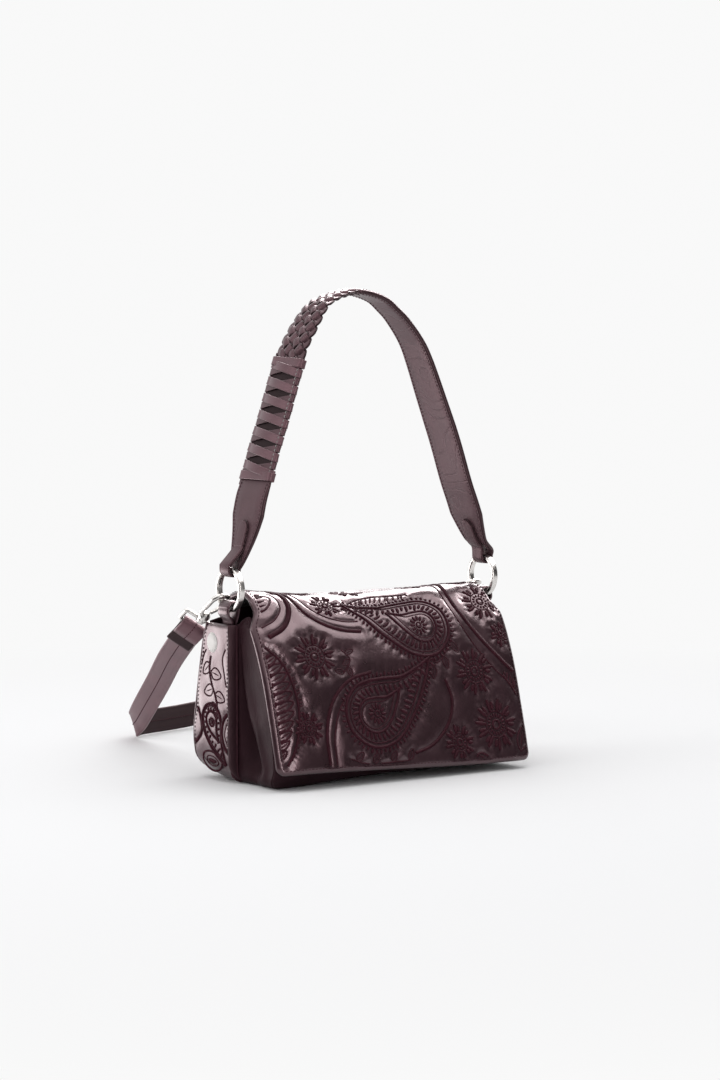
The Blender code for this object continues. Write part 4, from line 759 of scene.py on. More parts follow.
def settled(points):
    """The empty front compartment's base: tucked under at the front and lifted towards the right."""
    points = np.array(points, float)
    x, y, z = points[..., 0].copy(), points[..., 1].copy(), points[..., 2].copy()
    forward = ease((SEAM_Y - y) / 0.045)
    points[..., 1] = y + BASE_TUCK * np.clip(1.0 - z / 0.017, 0.0, 1.0) ** 2 * forward
    points[..., 2] = z + BASE_LIFT * ease((x + 0.106) / 0.10) * np.clip(1.0 - z / 0.045, 0.0, 1.0) * forward
    return points


def u_line(half_width, top, corner, base):
    """Points (x, z, nearness to a side) down the left side, along the base and up the right side."""
    made = [(-half_width, z, 1.0) for z in np.linspace(top, base + corner, 44)]
    for angle in np.linspace(0.0, math.pi / 2, 9)[1:]:
        x = -half_width + corner - corner * math.cos(angle)
        made.append((x, base + corner - corner * math.sin(angle), 1.0 - angle / (math.pi / 2)))
    middle = [(x, base, 0.0) for x in np.linspace(-(half_width - corner), half_width - corner, 34)[1:-1]]
    return np.array(made + middle + [(-x, z, near) for x, z, near in reversed(made)])


# The flap's leather, flattened: millimetres across from the middle and down from the front crease
def flap_profile():
    y, z = FLAP_ROOT
    points = [(y - a * FLAP_TOP_REACH, z + r * FLAP_TOP_RISE) for a, r in FLAP_TOP_SHARES]
    y, z = points[-1]
    points += [(y - a * FLAP_FRONT_REACH, z - d * FLAP_FRONT_DROP) for a, d in FLAP_FRONT_SHARES]
    fine = smooth_line(points, 10)
    crease = distances(fine)[(len(FLAP_TOP_SHARES) - 1) * 10]
    return fine, crease


FLAP_LINE, FLAP_CREASE = flap_profile()
FLAP_RUN = distances(FLAP_LINE)
FLAP_LENGTH = FLAP_RUN[-1]
FLAP_WAY = tangents(FLAP_LINE)
FLAP_LOW = (FLAP_LENGTH - FLAP_CREASE) / MM
FLAP_HIGH = -FLAP_CREASE / MM


def flap_half(down):
    """Half the flap's width at a distance below its crease."""
    top = FLAP_TOP_HALF - 0.0035 * (1.0 - np.clip((down * MM + FLAP_CREASE) / 0.012, 0.0, 1.0))
    front = FLAP_CREASE_HALF + (FLAP_FRONT_HALF - FLAP_CREASE_HALF) * ease((down * MM - 0.004) / 0.016)
    half = np.where(down < 0, top + (FLAP_CREASE_HALF - FLAP_TOP_HALF) * ease(down / 20 + 1), front)
    left = np.clip(FLAP_LENGTH - FLAP_CREASE - down * MM, 0.0, FLAP_CORNER)
    return half - FLAP_CORNER + np.sqrt(np.maximum(0.0, FLAP_CORNER ** 2 - (FLAP_CORNER - left) ** 2))


class Relief:
    """How far the leather is drawn down along its embroidery, as a grid read between its points."""

    def __init__(self, strokes, low, high, pull, puff):
        self.low = np.array(low, float)
        counts = (np.ceil((np.array(high) - self.low) / RELIEF_STEP) + 1).astype(int)
        spots = np.vstack([places for places, _, _ in strokes])
        tree = kdtree.KDTree(len(spots))
        for i, spot in enumerate(spots):
            tree.insert((spot[0], spot[1], 0.0), i)
        tree.balance()
        values = np.zeros(counts)
        for i in range(counts[0]):
            for j in range(counts[1]):
                spot = (self.low[0] + i * RELIEF_STEP, self.low[1] + j * RELIEF_STEP, 0.0)
                far = tree.find(spot)[2]
                raised = puff * (1.0 - math.exp(-(far / RELIEF_FAR) ** 2))
                values[i, j] = raised - pull * math.exp(-(far / RELIEF_NEAR) ** 2)
        self.values = values

    def at(self, a, b):
        x = np.clip((a - self.low[0]) / RELIEF_STEP, 0, self.values.shape[0] - 1.001)
        y = np.clip((b - self.low[1]) / RELIEF_STEP, 0, self.values.shape[1] - 1.001)
        i, j = x.astype(int), y.astype(int)
        u, v = x - i, y - j
        v00, v10 = self.values[i, j], self.values[i + 1, j]
        v01, v11 = self.values[i, j + 1], self.values[i + 1, j + 1]
        return (v00 * (1 - u) + v10 * u) * (1 - v) + (v01 * (1 - u) + v11 * u) * v


def flap_at(across, down, relief=None):
    """Points and outward normals of the flap's outer face."""
    across = np.asarray(across, float)
    down = np.asarray(down, float)
    run = down * MM + FLAP_CREASE
    spots, ways = read_at(run, FLAP_RUN, FLAP_LINE), read_at(run, FLAP_RUN, FLAP_WAY)
    y, z = spots[..., 0], spots[..., 1]
    normal = unit(np.stack([np.zeros_like(y), ways[..., 1], -ways[..., 0]], -1))
    sag = np.interp(across, [p for p, _ in SAG_PLACES], [d for _, d in SAG_PLACES]) * MM
    held = ease((down - FLAP_HIGH - 4) / 18) * (1.0 - ease((down + 6) / 26))
    low_right = FLAP_SLACK * ease(down / (FLAP_LOW * 1.02)) * ease((across + 112) / 210)
    points = np.stack([across * MM, y, z + sag * held - low_right], -1)
    swell = 0.55 * ripple(across, down, 26.0) + 0.22 * ripple(across, down, 9.0, 1.0)
    edge = np.minimum(np.abs(np.abs(across) - 114), FLAP_LOW - down)
    swell = swell * ease(edge / 12) - 2.8 * np.clip((np.abs(across) - 95) / 18, 0, 1.1) ** 2
    if relief is not None:
        swell = swell + relief.at(across, down)
    return points + normal * (swell * MM)[..., None], normal


# Embroidery motifs, as strokes of (places, widths, height), in millimetres
def stroke(points, width=1.0, height=0.55, closed=False, taper=False, pitch=0.42):
    points = np.asarray(points, float)
    if closed:
        points = np.vstack([points, points[:1]])
    line = smooth_line(points, 8) if len(points) > 2 else points
    count = max(4, int(distances(line)[-1] / pitch))
    line = even(line, count)
    widths = np.full(count, float(width))
    if taper:
        widths = widths * (0.35 + 0.65 * np.sin(np.linspace(0.15, math.pi - 0.15, count)))
    return line, widths, height


def turned_to(points, centre, angle, size=1.0, flip=1.0):
    points = np.asarray(points, float) * np.array([1.0, flip]) * size
    c, s = math.cos(angle), math.sin(angle)
    turned = np.stack([points[:, 0] * c - points[:, 1] * s, points[:, 0] * s + points[:, 1] * c], 1)
    return turned + np.array(centre)


def daisy(centre, radius, petals):
    """A daisy of satin bars round a ringed eye."""
    made = []
    middle = np.array(centre, float)

    def bar(angle, start, end, bend, width, height):
        first = middle + radius * start * np.array([math.cos(angle), math.sin(angle)])
        last = middle + radius * end * np.array([math.cos(angle + bend), math.sin(angle + bend)])
        made.append(stroke([first, last], width, height, taper=True))

    for k in range(petals):
        angle = 2 * math.pi * (k + 0.3 * (k % 2)) / petals
        bar(angle, 0.50 if k % 2 else 0.56, 1.0 if k % 2 else 0.88, 0.05, 2.0 + radius * 0.045, 0.9)
    for k in range(petals - 4):
        bar(2 * math.pi * k / (petals - 4), 0.26, 0.44, 0.0, 1.5, 0.7)
    made.append(stroke(round_line(middle, radius * 0.50, radius * 0.50, 21), 0.9, 0.6, closed=True))
    made.append(stroke(round_line(middle, radius * 0.17, radius * 0.17, 9), 1.5, 0.8, closed=True))
    return made


def round_line(middle, across, down, count):
    return [
        (middle[0] + across * math.cos(a), middle[1] + down * math.sin(a))
        for a in np.linspace(0, 2 * math.pi, count)[:-1]
    ]


TEAR = np.array([
    (-1.42, 0.30), (-1.05, -0.02), (-0.62, -0.32), (-0.10, -0.52), (0.36, -0.42), (0.60, -0.04), (0.48, 0.36),
    (0.10, 0.54), (-0.34, 0.44), (-0.72, 0.30), (-1.08, 0.28),
])


def paisley(centre, size, angle, flip, rays, fringe=0):
    """A paisley drop: outlines, rays between them, a small drop inside and a fringe of bars outside."""
    made = []
    body = np.array([0.02, 0.0])

    def within(shrink, shift=0.0):
        shape = (TEAR - body) * shrink + body + np.array([shift, 0.0])
        return turned_to(shape, centre, angle, size, flip)

    outer = turned_to(TEAR, centre, angle, size, flip)
    inner = within(0.87)
    middle = turned_to([body], centre, angle, size, flip)[0]
    made.append(stroke(outer, 1.3 + size * 0.018, 1.0, closed=True))
    made.append(stroke(inner, 1.0, 0.7, closed=True))
    made.append(stroke(within((0.48, 0.52), 0.06), 1.7, 0.9, closed=True))
    if size > 30:
        made.append(stroke(within((0.38, 0.40), 0.07), 0.8, 0.6, closed=True))

    def bars(line, count, width, inward, length, skip):
        points = even(smooth_line(np.vstack([line, line[:1]]), 8), count + 1)[:-1]
        way = tangents(points)
        side = np.stack([-way[:, 1], way[:, 0]], 1)
        side *= np.where(((middle - points) * side).sum(1) > 0, 1.0, -1.0)[:, None] * inward
        for k, point in enumerate(points):
            far = np.linalg.norm(middle - point)
            if far > size * skip:
                continue
            reach = length * (1.0 if k % 2 else 0.72)
            if inward > 0:
                reach = min(reach, far * 0.36)
            start = point + side[k] * size * 0.030
            end = start + (side[k] + way[k] * 0.25) * reach
            made.append(stroke([start, end], width, 0.85, taper=True))

    bars(inner, rays, size * 0.035 + 0.7, 1.0, size * 0.15, 1.25)
    if fringe:
        bars(outer, fringe, size * 0.018 + 0.9, -1.0, size * 0.085, 2.0)
    for k in range(12):
        a = 2 * math.pi * k / 12
        way = np.array([math.cos(a), math.sin(a)]) * size
        made.append(stroke([middle + way * 0.07, middle + way * 0.175], size * 0.03 + 0.6, 0.8, taper=True))
    made.append(stroke(round_line(middle, size * 0.045, size * 0.045, 9), 1.1, 0.8, closed=True))
    return made


def leaf(root, tip, bulge, width):
    """A leaf loop with its vein."""
    root, tip = np.asarray(root, float), np.asarray(tip, float)
    way = tip - root
    side = np.array([-way[1], way[0]]) * bulge
    low, high = root + way * 0.3, root + way * 0.7
    outline = [root, low + side, high + side * 0.85, tip, high - side * 0.85, low - side]
    vein = [root + way * 0.15, root + way * 0.78]
    return [stroke(outline, width, 0.55, closed=True), stroke(vein, width * 0.8, 0.5, taper=True)]


def steps_on(line, count, first):
    """Even steps along a line, each with its point, the way on and the way to the side."""
    way, run = tangents(line), distances(line)
    for k in range(count):
        i = int(np.searchsorted(run, run[-1] * (k + first) / count).clip(1, len(line) - 1))
        yield k, line[i], way[i], np.array([-way[i][1], way[i][0]])


def sprig(points, leaves, length, side_share, width):
    """A stem with leaf loops on both sides."""
    made = [stroke(points, width, 0.6)]
    for k, spot, way, side in steps_on(smooth_line(points, 8), leaves, 0.7):
        side = side * (1 if k % 2 else -1)
        tip = spot + (way * 0.75 + side * side_share) * length
        made += leaf(spot, tip, 0.24, width * 0.8)
    return made


def feathered(points, count, length, width, lean=0.6):
    """A curved line with short bars on one side, like a feather's edge."""
    made = [stroke(points, 1.4, 0.7)]
    for k, spot, way, side in steps_on(smooth_line(points, 8), count, 0.5):
        grow = math.sin(math.pi * (k + 0.5) / count) ** 0.5
        tip = spot + (side + way * lean) * length * grow
        made.append(stroke([spot + side * 0.6, tip], width, 0.6, taper=True))
    return made


def inside(strokes, keep):
    """Strokes cut to the places where keep says they may lie."""
    made = []
    for line, widths, height in strokes:
        good = keep(line[:, 0], line[:, 1])
        start = None
        for i in range(len(line) + 1):
            if i < len(line) and good[i]:
                start = i if start is None else start
            elif start is not None:
                if i - start > 3:
                    made.append((line[start:i], widths[start:i], height))
                start = None
    return made


def flap_pattern():
    made = []

    def draw(*what, **how):
        made.append(stroke(*what, **how))

    made += paisley((30, 25), 45, math.radians(12), -1.0, 44, fringe=64)
    made += paisley((-22, 88), 46, math.radians(157), 1.0, 44, fringe=64)
    draw([(-70, 124), (-69, 100), (-60, 78), (-42, 63), (-22, 58)], 2.2, 1.0)
    draw([(-64, 126), (-63, 104), (-55, 84), (-40, 70), (-24, 65)], 1.0, 0.6)
    draw([(6, 118), (24, 112), (40, 98), (47, 82), (44, 66)], 2.0, 1.0)
    for across, down, radius, petals in FLAP_DAISIES:
        made += daisy((across, down), radius, petals)
    made += paisley((-56, -30), 22, math.radians(-20), 1.0, 24, fringe=30)
    made += paisley((92, -30), 20, math.radians(160), 1.0, 22, fringe=28)
    draw([(72, -46), (71, -22), (68, -2), (71, 16), (84, 38), (100, 56), (114, 68)], 2.6, 1.1)
    draw([(67, -46), (66, -22), (63, 0), (66, 19), (78, 44), (94, 64), (114, 80)], 1.0, 0.6)
    made += feathered([(114, 88), (104, 74), (98, 66)], 8, 6.5, 1.7)
    draw([(-113, -26), (-96, -27), (-83, -20), (-77, -6), (-79, 8), (-88, 20), (-103, 27)], 3.2, 1.2)
    draw([(-113, -18), (-97, -19), (-87, -12), (-84, -2), (-86, 6), (-94, 14), (-106, 19)], 1.1, 0.6)
    made += leaf((-112, 4), (-90, -6), 0.26, 1.5)
    for k in range(5):
        draw([(-109, -9 + k * 4.4), (-96, -10 + k * 3.6)], 1.5, 0.75, taper=True)
    draw([(-88, -46), (-78, -30), (-72, -10), (-66, 6), (-55, 18), (-38, 25), (-22, 27)], 2.4, 1.0)
    draw([(-82, -46), (-72, -30), (-66, -12), (-60, 2), (-50, 12), (-36, 18), (-22, 19)], 1.0, 0.6)
    made += feathered([(-30, 6), (-20, -4), (-4, -8), (14, -8), (34, -8)], 17, 7.0, 1.6, -0.5)
    border = [(-108, 34), (-98, 46), (-92, 62), (-90, 80), (-93, 98), (-99, 112), (-106, 122)]
    draw(border, 1.7, 0.9)
    made += feathered(border[::-1], 30, 4.0, 1.3, 0.3)
    for k in range(11):
        y = 42 + k * 7.0
        wide = 15.5 * math.sin(math.pi * (0.16 + 0.80 * (k + 0.5) / 11)) + 2
        made += leaf((-111, y + 5), (-111 + wide, y - 1), 0.20, 1.4)
        draw([(-111, y + 1.2), (-111 + wide * 0.6, y - 2.6)], 1.9, 0.8, taper=True)
    made += sprig([(-52, 120), (-38, 124), (-20, 124), (0, 123)], 7, 6.0, 1.3, 1.0)
    made += sprig([(58, 34), (52, 44), (40, 54), (28, 58)], 6, 6.5, 1.3, 0.9)
    made += sprig([(-44, 40), (-38, 48), (-46, 58)], 4, 5.5, 1.2, 0.9)
    made += leaf((62, 122), (74, 126), 0.22, 1.4) + leaf((104, 122), (110, 104), 0.22, 1.4)

    def keep(across, down):
        within = np.abs(across) < flap_half(down) / MM - 4.6
        return within & (down < FLAP_LOW - 4.8) & (down > FLAP_HIGH + 7)

    return inside(made, keep)


def thread_mesh(name, strokes, surface, finish, body, slot):
    """Raised satin stitching: each stroke is a ridge of threads laid across it."""
    bows = np.array([-1.0, -0.72, 0.0, 0.72, 1.0])
    rise = np.array([0.0, 0.72, 1.0, 0.72, 0.0])
    cross, lifts, faces, start = [], [], [], 0
    for line, widths, height in strokes:
        count = len(line)
        way = tangents(line)
        side = np.stack([-way[:, 1], way[:, 0]], 1)
        turns = np.where(np.arange(count) % 2 == 0, 1.0, -1.0)
        wave = 1.0 + 0.20 * turns
        wave[[0, -1]] = 0.0
        wide = widths * 0.62 * (1.0 + 0.10 * turns)
        tall = 1.3 * height * np.minimum(1.0, 0.55 + widths / 3.5)
        cross.append(line[:, None, :] + side[:, None, :] * (wide[:, None] * bows[None, :])[..., None])
        lifts.append((tall * wave)[:, None] * rise[None, :] - THREAD_SINK)
        faces += grid_faces(count, len(bows), start)
        start += count * len(bows)
    cross = np.vstack([c.reshape(-1, 2) for c in cross])
    lifts = np.concatenate([h.reshape(-1) for h in lifts])
    points, normals = surface(cross[:, 0], cross[:, 1])
    return add_mesh(name, points + normals * (lifts * MM)[:, None], faces, finish, body)


# The handle's lines
def chord_drop(half_width):
    return math.sqrt((RING_OUTER_RADIUS - RING_THICKNESS) ** 2 - half_width ** 2)


def fold_line(side):
    """The strap's end round a ring's upper bar, from the tongue to the strap."""
    reach = RING_HALF_WIDTH + 0.0010 + TAB_THICKNESS / 2
    middle = RING_PLACE[2] + chord_drop(TAB_WIDTH / 2) - 0.0008 - TAB_THICKNESS / 2 + reach
    turns = np.linspace(0.0, math.pi, FOLD_STEPS)
    x = side * RING_PLACE[0] - reach * np.cos(turns)
    return np.stack([x, np.full(FOLD_STEPS, RING_PLACE[1]), middle - reach * np.sin(turns)], 1)


def handle_line():
    spots = [(x * RING_PLACE[0], RING_PLACE[1], RING_PLACE[2] + z * HANDLE_RISE) for x, z in HANDLE_SHARES]
    return smooth_line([fold_line(-1)[-1], *spots, fold_line(1)[-1]], 6)


def strap_line(side, main):
    """Tongue, fold and strap as one line, and where the strap proper starts."""
    fold = fold_line(side)
    start = part_of(main, 0.0, 0.036, 9)
    way = tangents(start)
    out = np.stack([way[:, 2], np.zeros(9), -way[:, 0]], 1)
    out *= np.where(out[:, :1] > 0, -1.0, 1.0)
    away = (TAB_THICKNESS + HANDLE_THICKNESS) / 2 + GAP
    tongue = (start + out * away)[3:][::-1]
    knee = fold[0] + np.array([0.0, 0.0, 0.0030])
    tongue = smooth_line([*tongue, knee], 4)
    rest = main[np.linalg.norm(main - fold[-1], axis=1) > TAB_THICKNESS]
    return np.vstack([tongue, fold, rest]), len(tongue) + len(fold)


def strap_frames(line):
    way = tangents(line)
    side = square_to(way, np.tile(BACKWARD, (len(line), 1)))
    return side, np.cross(way, side)


def build_strap_end(word, side, main, width_shares, finish, edge, thread):
    name, node = f"strap_{word}", f"handle_strap_{word}"
    line, joint = strap_line(side, main)
    run = distances(line)
    tongue_end = run[joint - FOLD_STEPS]
    grow = np.maximum(0.0, run - run[joint - 1])
    whole = run[-1] - run[joint - 1]
    shares = np.array(width_shares)
    spread = np.clip(grow / STRAP_SPREAD, 0, 1)
    wide = (TAB_WIDTH + (HANDLE_WIDTH - TAB_WIDTH) * spread ** 0.8) / 2
    wide = wide * np.interp(grow / whole, shares[:, 0], shares[:, 1])
    narrow = TONGUE_HALF_WIDTH * np.sqrt(np.clip(1 - (1 - np.clip(run / TONGUE_TIP, 0.04, 1)) ** 2, 0, 1))
    lead = ease((run - tongue_end * 0.55) / (tongue_end * 0.45))
    narrow = narrow * (1 + (TAB_WIDTH / 2 / TONGUE_HALF_WIDTH - 1) * lead)
    half = np.where(np.arange(len(line)) < joint, narrow, wide)
    thick = (TAB_THICKNESS + (HANDLE_THICKNESS - TAB_THICKNESS) * spread) / 2
    thick = thick * (np.interp(grow, [LACING_START - 0.012, LACING_START], [1.0, 0.42]) if side < 0 else 1.0)
    across = np.tile(BACKWARD, (len(line), 1))
    made = band(name, line, across, half, thick, finish, *ON_HANDLE, strap_section, edge)
    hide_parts(node)
    way, through = strap_frames(line)
    after = slice(joint + 4, len(line) - 2)
    for label, sign, face in (("a", 1, 1), ("b", -1, 1), ("c", 1, -1), ("d", -1, -1)):
        seam = line + way * (sign * (half - STRAP_SEAM_INSET))[:, None]
        seam = seam + through * (face * (thick * 0.92))[:, None]
        stitches(f"{name}_seam_{label}", seam[after], through[after] * face, thread, *ON_HANDLE)
    tongue = joint - FOLD_STEPS
    # Thin dark wires down the tongue's sides: its painted edge, and painted shade for the shadow in the
    # groove round its outline.
    for label, sign in (("left", 1), ("right", -1)):
        rim = line + way * (sign * (half - 0.0004))[:, None] + through * (TAB_THICKNESS / 2 * 0.9)
        radii = np.full(tongue, TONGUE_RIM_RADIUS)
        wire(f"{name}_tongue_rim_{label}", rim[:tongue], radii, edge, *ON_HANDLE, 6)
    before = slice(3, tongue - 1)
    for label, sign in (("e", 1), ("f", -1)):
        seam = line + way * (sign * (half - TONGUE_SEAM_INSET))[:, None]
        seam = seam + through * (TAB_THICKNESS / 2 * 0.95)
        row = f"{name}_tongue_{label}"
        stitches(row, seam[before], through[before], thread, *ON_HANDLE, TONGUE_STITCH_PITCH)


def build_lacing(main, finish, thread):
    """Two thongs wound crosswise round the strap; the one that winds down lies over the other."""
    section = part_of(main, LACING_START - 0.003, LACING_START + LACING_LENGTH + 0.003, 260)
    run = distances(section)
    side, through = strap_frames(section)
    way = tangents(section)
    pitch = LACING_LENGTH / LACING_TURNS
    half = HANDLE_WIDTH / 2 * np.interp(run / run[-1], [0, 0.1, 1], [1.0, 0.96, 0.94])

    def spot(at, a, b, level):
        at = float(np.clip(at, 0.0, run[-1]))
        middle, out, up, on = [read_at(at, run, table) for table in (section, side, through, way)]
        wide = np.interp(at, run, half)
        return middle + out * a * (wide + level * 0.35) + up * b * (LACING_CORE + level), unit(on)

    def thong(name, lean, pitch, over, width, first, leather, thick):
        crossing, turning = THONG_CROSSING, THONG_TURNING
        points, acrosses = [], []
        for n in range(LACING_TURNS):
            for k in range(THONG_STEPS):
                share = k / THONG_STEPS
                if share < crossing:
                    a, b, s = 1 - 2 * share / crossing, 1.0, lean * share / crossing
                elif share < 0.5:
                    turn = (share - crossing) / turning * math.pi
                    a, b, s = -1 - 0.03 * math.sin(turn), math.cos(turn), lean
                elif share < 0.5 + crossing:
                    a, b = -1 + 2 * (share - 0.5) / crossing, -1.0
                    s = lean + (1 - lean) * (share - 0.5) / crossing
                else:
                    turn = (share - (0.5 + crossing)) / turning * math.pi
                    a, b, s = 1 + 0.03 * math.sin(turn), -math.cos(turn), 1.0
                level = 0.0004 + 0.0012 * (1 - a * a) + over * max(0.0, 1 - (a / 0.8) ** 2)
                place, along_way = spot(first + (n + s) * pitch, a, b, level)
                points.append(place)
                acrosses.append(along_way)
        points = np.array(points)
        count = len(points)
        acrosses = square_to(tangents(points), np.array(acrosses))
        widths, heights = np.full(count, width / 2), np.full(count, thick)
        return band(name, points, acrosses, widths, heights, leather, *ON_HANDLE, thong_section)

    low = 0.0062
    # The inner thong takes the darker braid leather: painted shade where it runs under the outer thong.
    thong("lacing_inner_thong", 0.48, pitch, 0.0, 0.0054, low, finish_of("braid_leather"), 0.0005)
    top = low + 0.0064 + pitch * (LACING_TURNS - 1)
    over = thong("lacing_outer_thong", 0.54, -pitch, 0.0018, 0.0066, top, finish, 0.0008)
    for number, (at, tilt) in enumerate(((0.0040, 0.0), (LACING_LENGTH + 0.0012, 0.0008))):
        ring, ways = [], []
        for k in range(CUFF_STEPS + 1):
            a, b = oval_spot(k, CUFF_STEPS, 0.25, 0.6)
            place, along_way = spot(at + tilt * a, a, b, 0.0024)
            ring.append(place)
            ways.append(along_way)
        widths, heights = np.full(len(ring), 0.0033), np.full(len(ring), 0.0006)
        band(
            f"lacing_cuff_{number}", np.array(ring), np.array(ways), widths, heights, finish, *ON_HANDLE,
            thong_section,
        )
    places = np.linspace(0.006, LACING_LENGTH, 80)
    seam = np.array([spot(at, -0.91, 1.0, 0.0011)[0] for at in places])
    out = read_at(places, run, through)
    stitches("lacing_seam", seam, out, thread, *ON_HANDLE, 0.0032, 0.6, 0.00036)
    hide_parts("handle_lacing")
    # A dark band on the strap under the lacing: painted shade between the thongs.
    core = even(part_of(main, LACING_START - 0.002, LACING_START + LACING_LENGTH + 0.002, 60), 60)
    widths, heights = np.full(60, HANDLE_WIDTH / 2 * 0.955), np.full(60, LACING_CORE + 0.0001)
    core_leather = finish_of("core_leather")
    band("lacing_core", core, strap_frames(core)[0], widths, heights, core_leather, *ON_HANDLE, strap_section)


def build_braid(main, finish):
    """A flat braid: each strand passes over one strand and under the next."""
    core_leather = finish_of("core_leather")
    start = LACING_START + LACING_LENGTH - 0.006
    middle = part_of(main, start, LACING_START + LACING_LENGTH + BRAID_LENGTH + 0.001, 300)
    run = distances(middle)
    side, through = strap_frames(middle)
    table = np.array(BRAID_WIDTH_SHARES)
    narrow = np.interp(run / run[-1], table[:, 0], table[:, 1])
    wide = BRAID_WIDTH * narrow
    crossings = 2 * BRAID_STRANDS
    travel = np.concatenate([[0.0], np.cumsum(np.diff(run) / (0.35 + 0.65 * narrow[1:]))]) / 0.048
    for k in range(BRAID_STRANDS):
        turn = (travel + k / BRAID_STRANDS) % 1.0
        swing = np.arcsin(0.965 * np.sin(2 * math.pi * (turn - 0.25))) / math.asin(0.965)
        steps = turn * crossings
        height = np.cos(math.pi * (steps - 1)) * np.where(turn < 0.5, 1.0, -1.0)
        near = np.minimum(np.minimum(steps, crossings - steps), np.abs(steps - BRAID_STRANDS))
        height = np.sign(height) * np.abs(height) ** 0.7 * ease(near * 1.4)
        line = middle + side * (swing * (wide / 2 - 0.0036 * narrow))[:, None]
        line = line + through * (height * 0.0021 * (0.6 + 0.4 * narrow) * ease(run / 0.012))[:, None]
        across = np.cross(through, tangents(line))
        widths, heights = 0.0045 * (0.30 + 0.70 * narrow), 0.00115 * (0.6 + 0.4 * narrow)
        # Each strand's marked edges take the dark leather: painted shade in the gaps where it dives under the
        # next.
        band(
            f"braid_strand_{k}", line, across, widths, heights, finish, *ON_HANDLE, strand_section,
            core_leather,
        )
    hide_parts("handle_braid")
    # A dark band under the braid: painted shade in the gaps between the strands.
    heights = np.full(len(middle), 0.0007)
    band("braid_core", middle, side, wide / 2 * 0.84, heights, core_leather, *ON_HANDLE, strap_section)


# The hooks and the crossbody strap
def hook_frame(side):
    """Origin at the ring's middle; Z out along the hook, X across it."""
    out = Vector((0.0, math.sin(HOOK_ANGLE), math.cos(HOOK_ANGLE)))
    across = Vector((side, 0.0, 0.0))
    turn = Matrix((across, out.cross(across), out)).transposed().to_4x4()
    return Matrix.Translation((side * RING_PLACE[0], RING_PLACE[1], RING_PLACE[2])) @ turn


def swivel_frame(side):
    return hook_frame(side) @ Matrix.Rotation(-side * SWIVEL_TURN, 4, "Z")


def swivel_sizes():
    start = HOOK_COLLAR_START + HOOK_COLLAR_LENGTH + GAP
    boss = HOOK_PIN_LENGTH - GAP * 2
    low = start + boss / 2
    return start, boss, low, low + SWIVEL_DEPTH, SWIVEL_INNER_WIDTH / 2 + SWIVEL_WIRE_RADIUS


def placed(matrix, points):
    return np.array([matrix @ Vector(p) for p in points])


def build_hook(side, word, finish):
    place = hook_frame(side)
    body = f"hook_{word}_body"
    width = HOOK_HALF_WIDTH
    points = [(-width, 0.0, HOOK_NOSE + 0.001)]
    for k in range(25):
        angle = math.pi * (1.0 + k / 24)
        points.append((width * math.cos(angle), 0.0, HOOK_NOSE + width * math.sin(angle)))
    points += [(width, 0.0, HOOK_NOSE + z) for z in (0.006, 0.012, HOOK_SHANK)]
    points += [
        (width * 0.86, 0.0, HOOK_NOSE + HOOK_SHANK + 0.0018), (width * 0.5, 0.0, HOOK_COLLAR_START - 0.0012),
        (0.0, 0.0, HOOK_COLLAR_START + 0.001),
    ]
    line = smooth_line(placed(place, points), 3)
    share = np.linspace(0, 1, len(line))
    radii = HOOK_WIRE_RADIUS * (0.92 + 0.22 * np.sin(math.pi * np.clip(share * 1.1, 0, 1)))
    bent = wire(f"hook_wire_{word}", line, radii, finish, body, "nickel", 14)
    low = HOOK_COLLAR_START
    high = low + HOOK_COLLAR_LENGTH
    neck = high + HOOK_PIN_LENGTH
    profile = [
        (0.0, low - 0.0022), (0.0024, low - 0.0018), (0.0036, low - 0.0002), (0.0043, low + 0.0008),
        (0.0045, low + 0.0016), (0.0045, high - 0.0012), (0.0041, high - 0.0002), (0.0034, high),
        (0.0015, high), (0.0015, neck), (0.0024, neck + 0.0002), (0.0026, neck + 0.0006),
        (0.0020, neck + 0.0011), (0.0, neck + 0.0012),
    ]
    lathe(f"hook_collar_{word}", profile, place, finish, body)
    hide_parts(f"hook_{word}")
    base = HOOK_NOSE + 0.0016
    top = HOOK_COLLAR_START - HOOK_WIRE_RADIUS - 0.0006
    bend = base + (top - base) * 0.72
    points = [
        (-width, 0.0, base), (-width, 0.0, base + (top - base) * 0.4), (-width * 0.98, 0.0, bend),
        (-width * 0.45, 0.0, top),
    ]
    line = smooth_line(placed(place, points), 6)
    gate = wire(f"gate_bar_{word}", line, GATE_RADIUS, finish, f"gate_{word}", "nickel", 12)
    radius = GATE_KNOB_RADIUS
    ball = [(radius * math.sin(a), radius * math.cos(a)) for a in np.linspace(0.3, 2.84, 9)]
    knob = [(0.0, radius), *ball, (0.0, -radius)]
    spot = place @ Matrix.Translation((-width - GATE_RADIUS, 0.0, bend))
    lathe(f"gate_knob_{word}", knob, spot, finish, f"gate_{word}", 24)
    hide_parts(f"hook_gate_{word}")
    start, boss, low, bar, half = swivel_sizes()
    round_off = 0.0026
    corners = []
    for x, z, a in ((half, low, -90), (half, bar, 0), (-half, bar, 90), (-half, low, 180)):
        cx = x - math.copysign(round_off, x)
        cz = z + (round_off if z == low else -round_off)
        for k in range(8):
            angle = math.radians(a + 90 * k / 7)
            corners.append((cx + round_off * math.cos(angle), 0.0, cz + round_off * math.sin(angle)))
    frame = swivel_frame(side)
    loop = wire(f"swivel_wire_{word}", placed(frame, corners), 0.0017, finish, "bag", "nickel", 14, True)
    boss_profile = [
        (0.00185, start), (0.0033, start), (0.0037, start + 0.0006), (0.0037, start + boss - 0.0006),
        (0.0033, start + boss), (0.00185, start + boss),
    ]
    lathe(f"swivel_boss_{word}", boss_profile, frame, finish, "bag", 36, True)
    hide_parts(f"swivel_loop_{word}")


def bar_of(side):
    place = swivel_frame(side)
    bar = swivel_sizes()[3]
    turn = place.to_3x3()
    out = (turn @ Vector((0.0, 0.0, 1.0))).normalized()
    way = (turn @ Vector((1.0, 0.0, 0.0))).normalized()
    return place @ Vector((0.0, 0.0, bar)), out, -way if way[2] > 0 else way


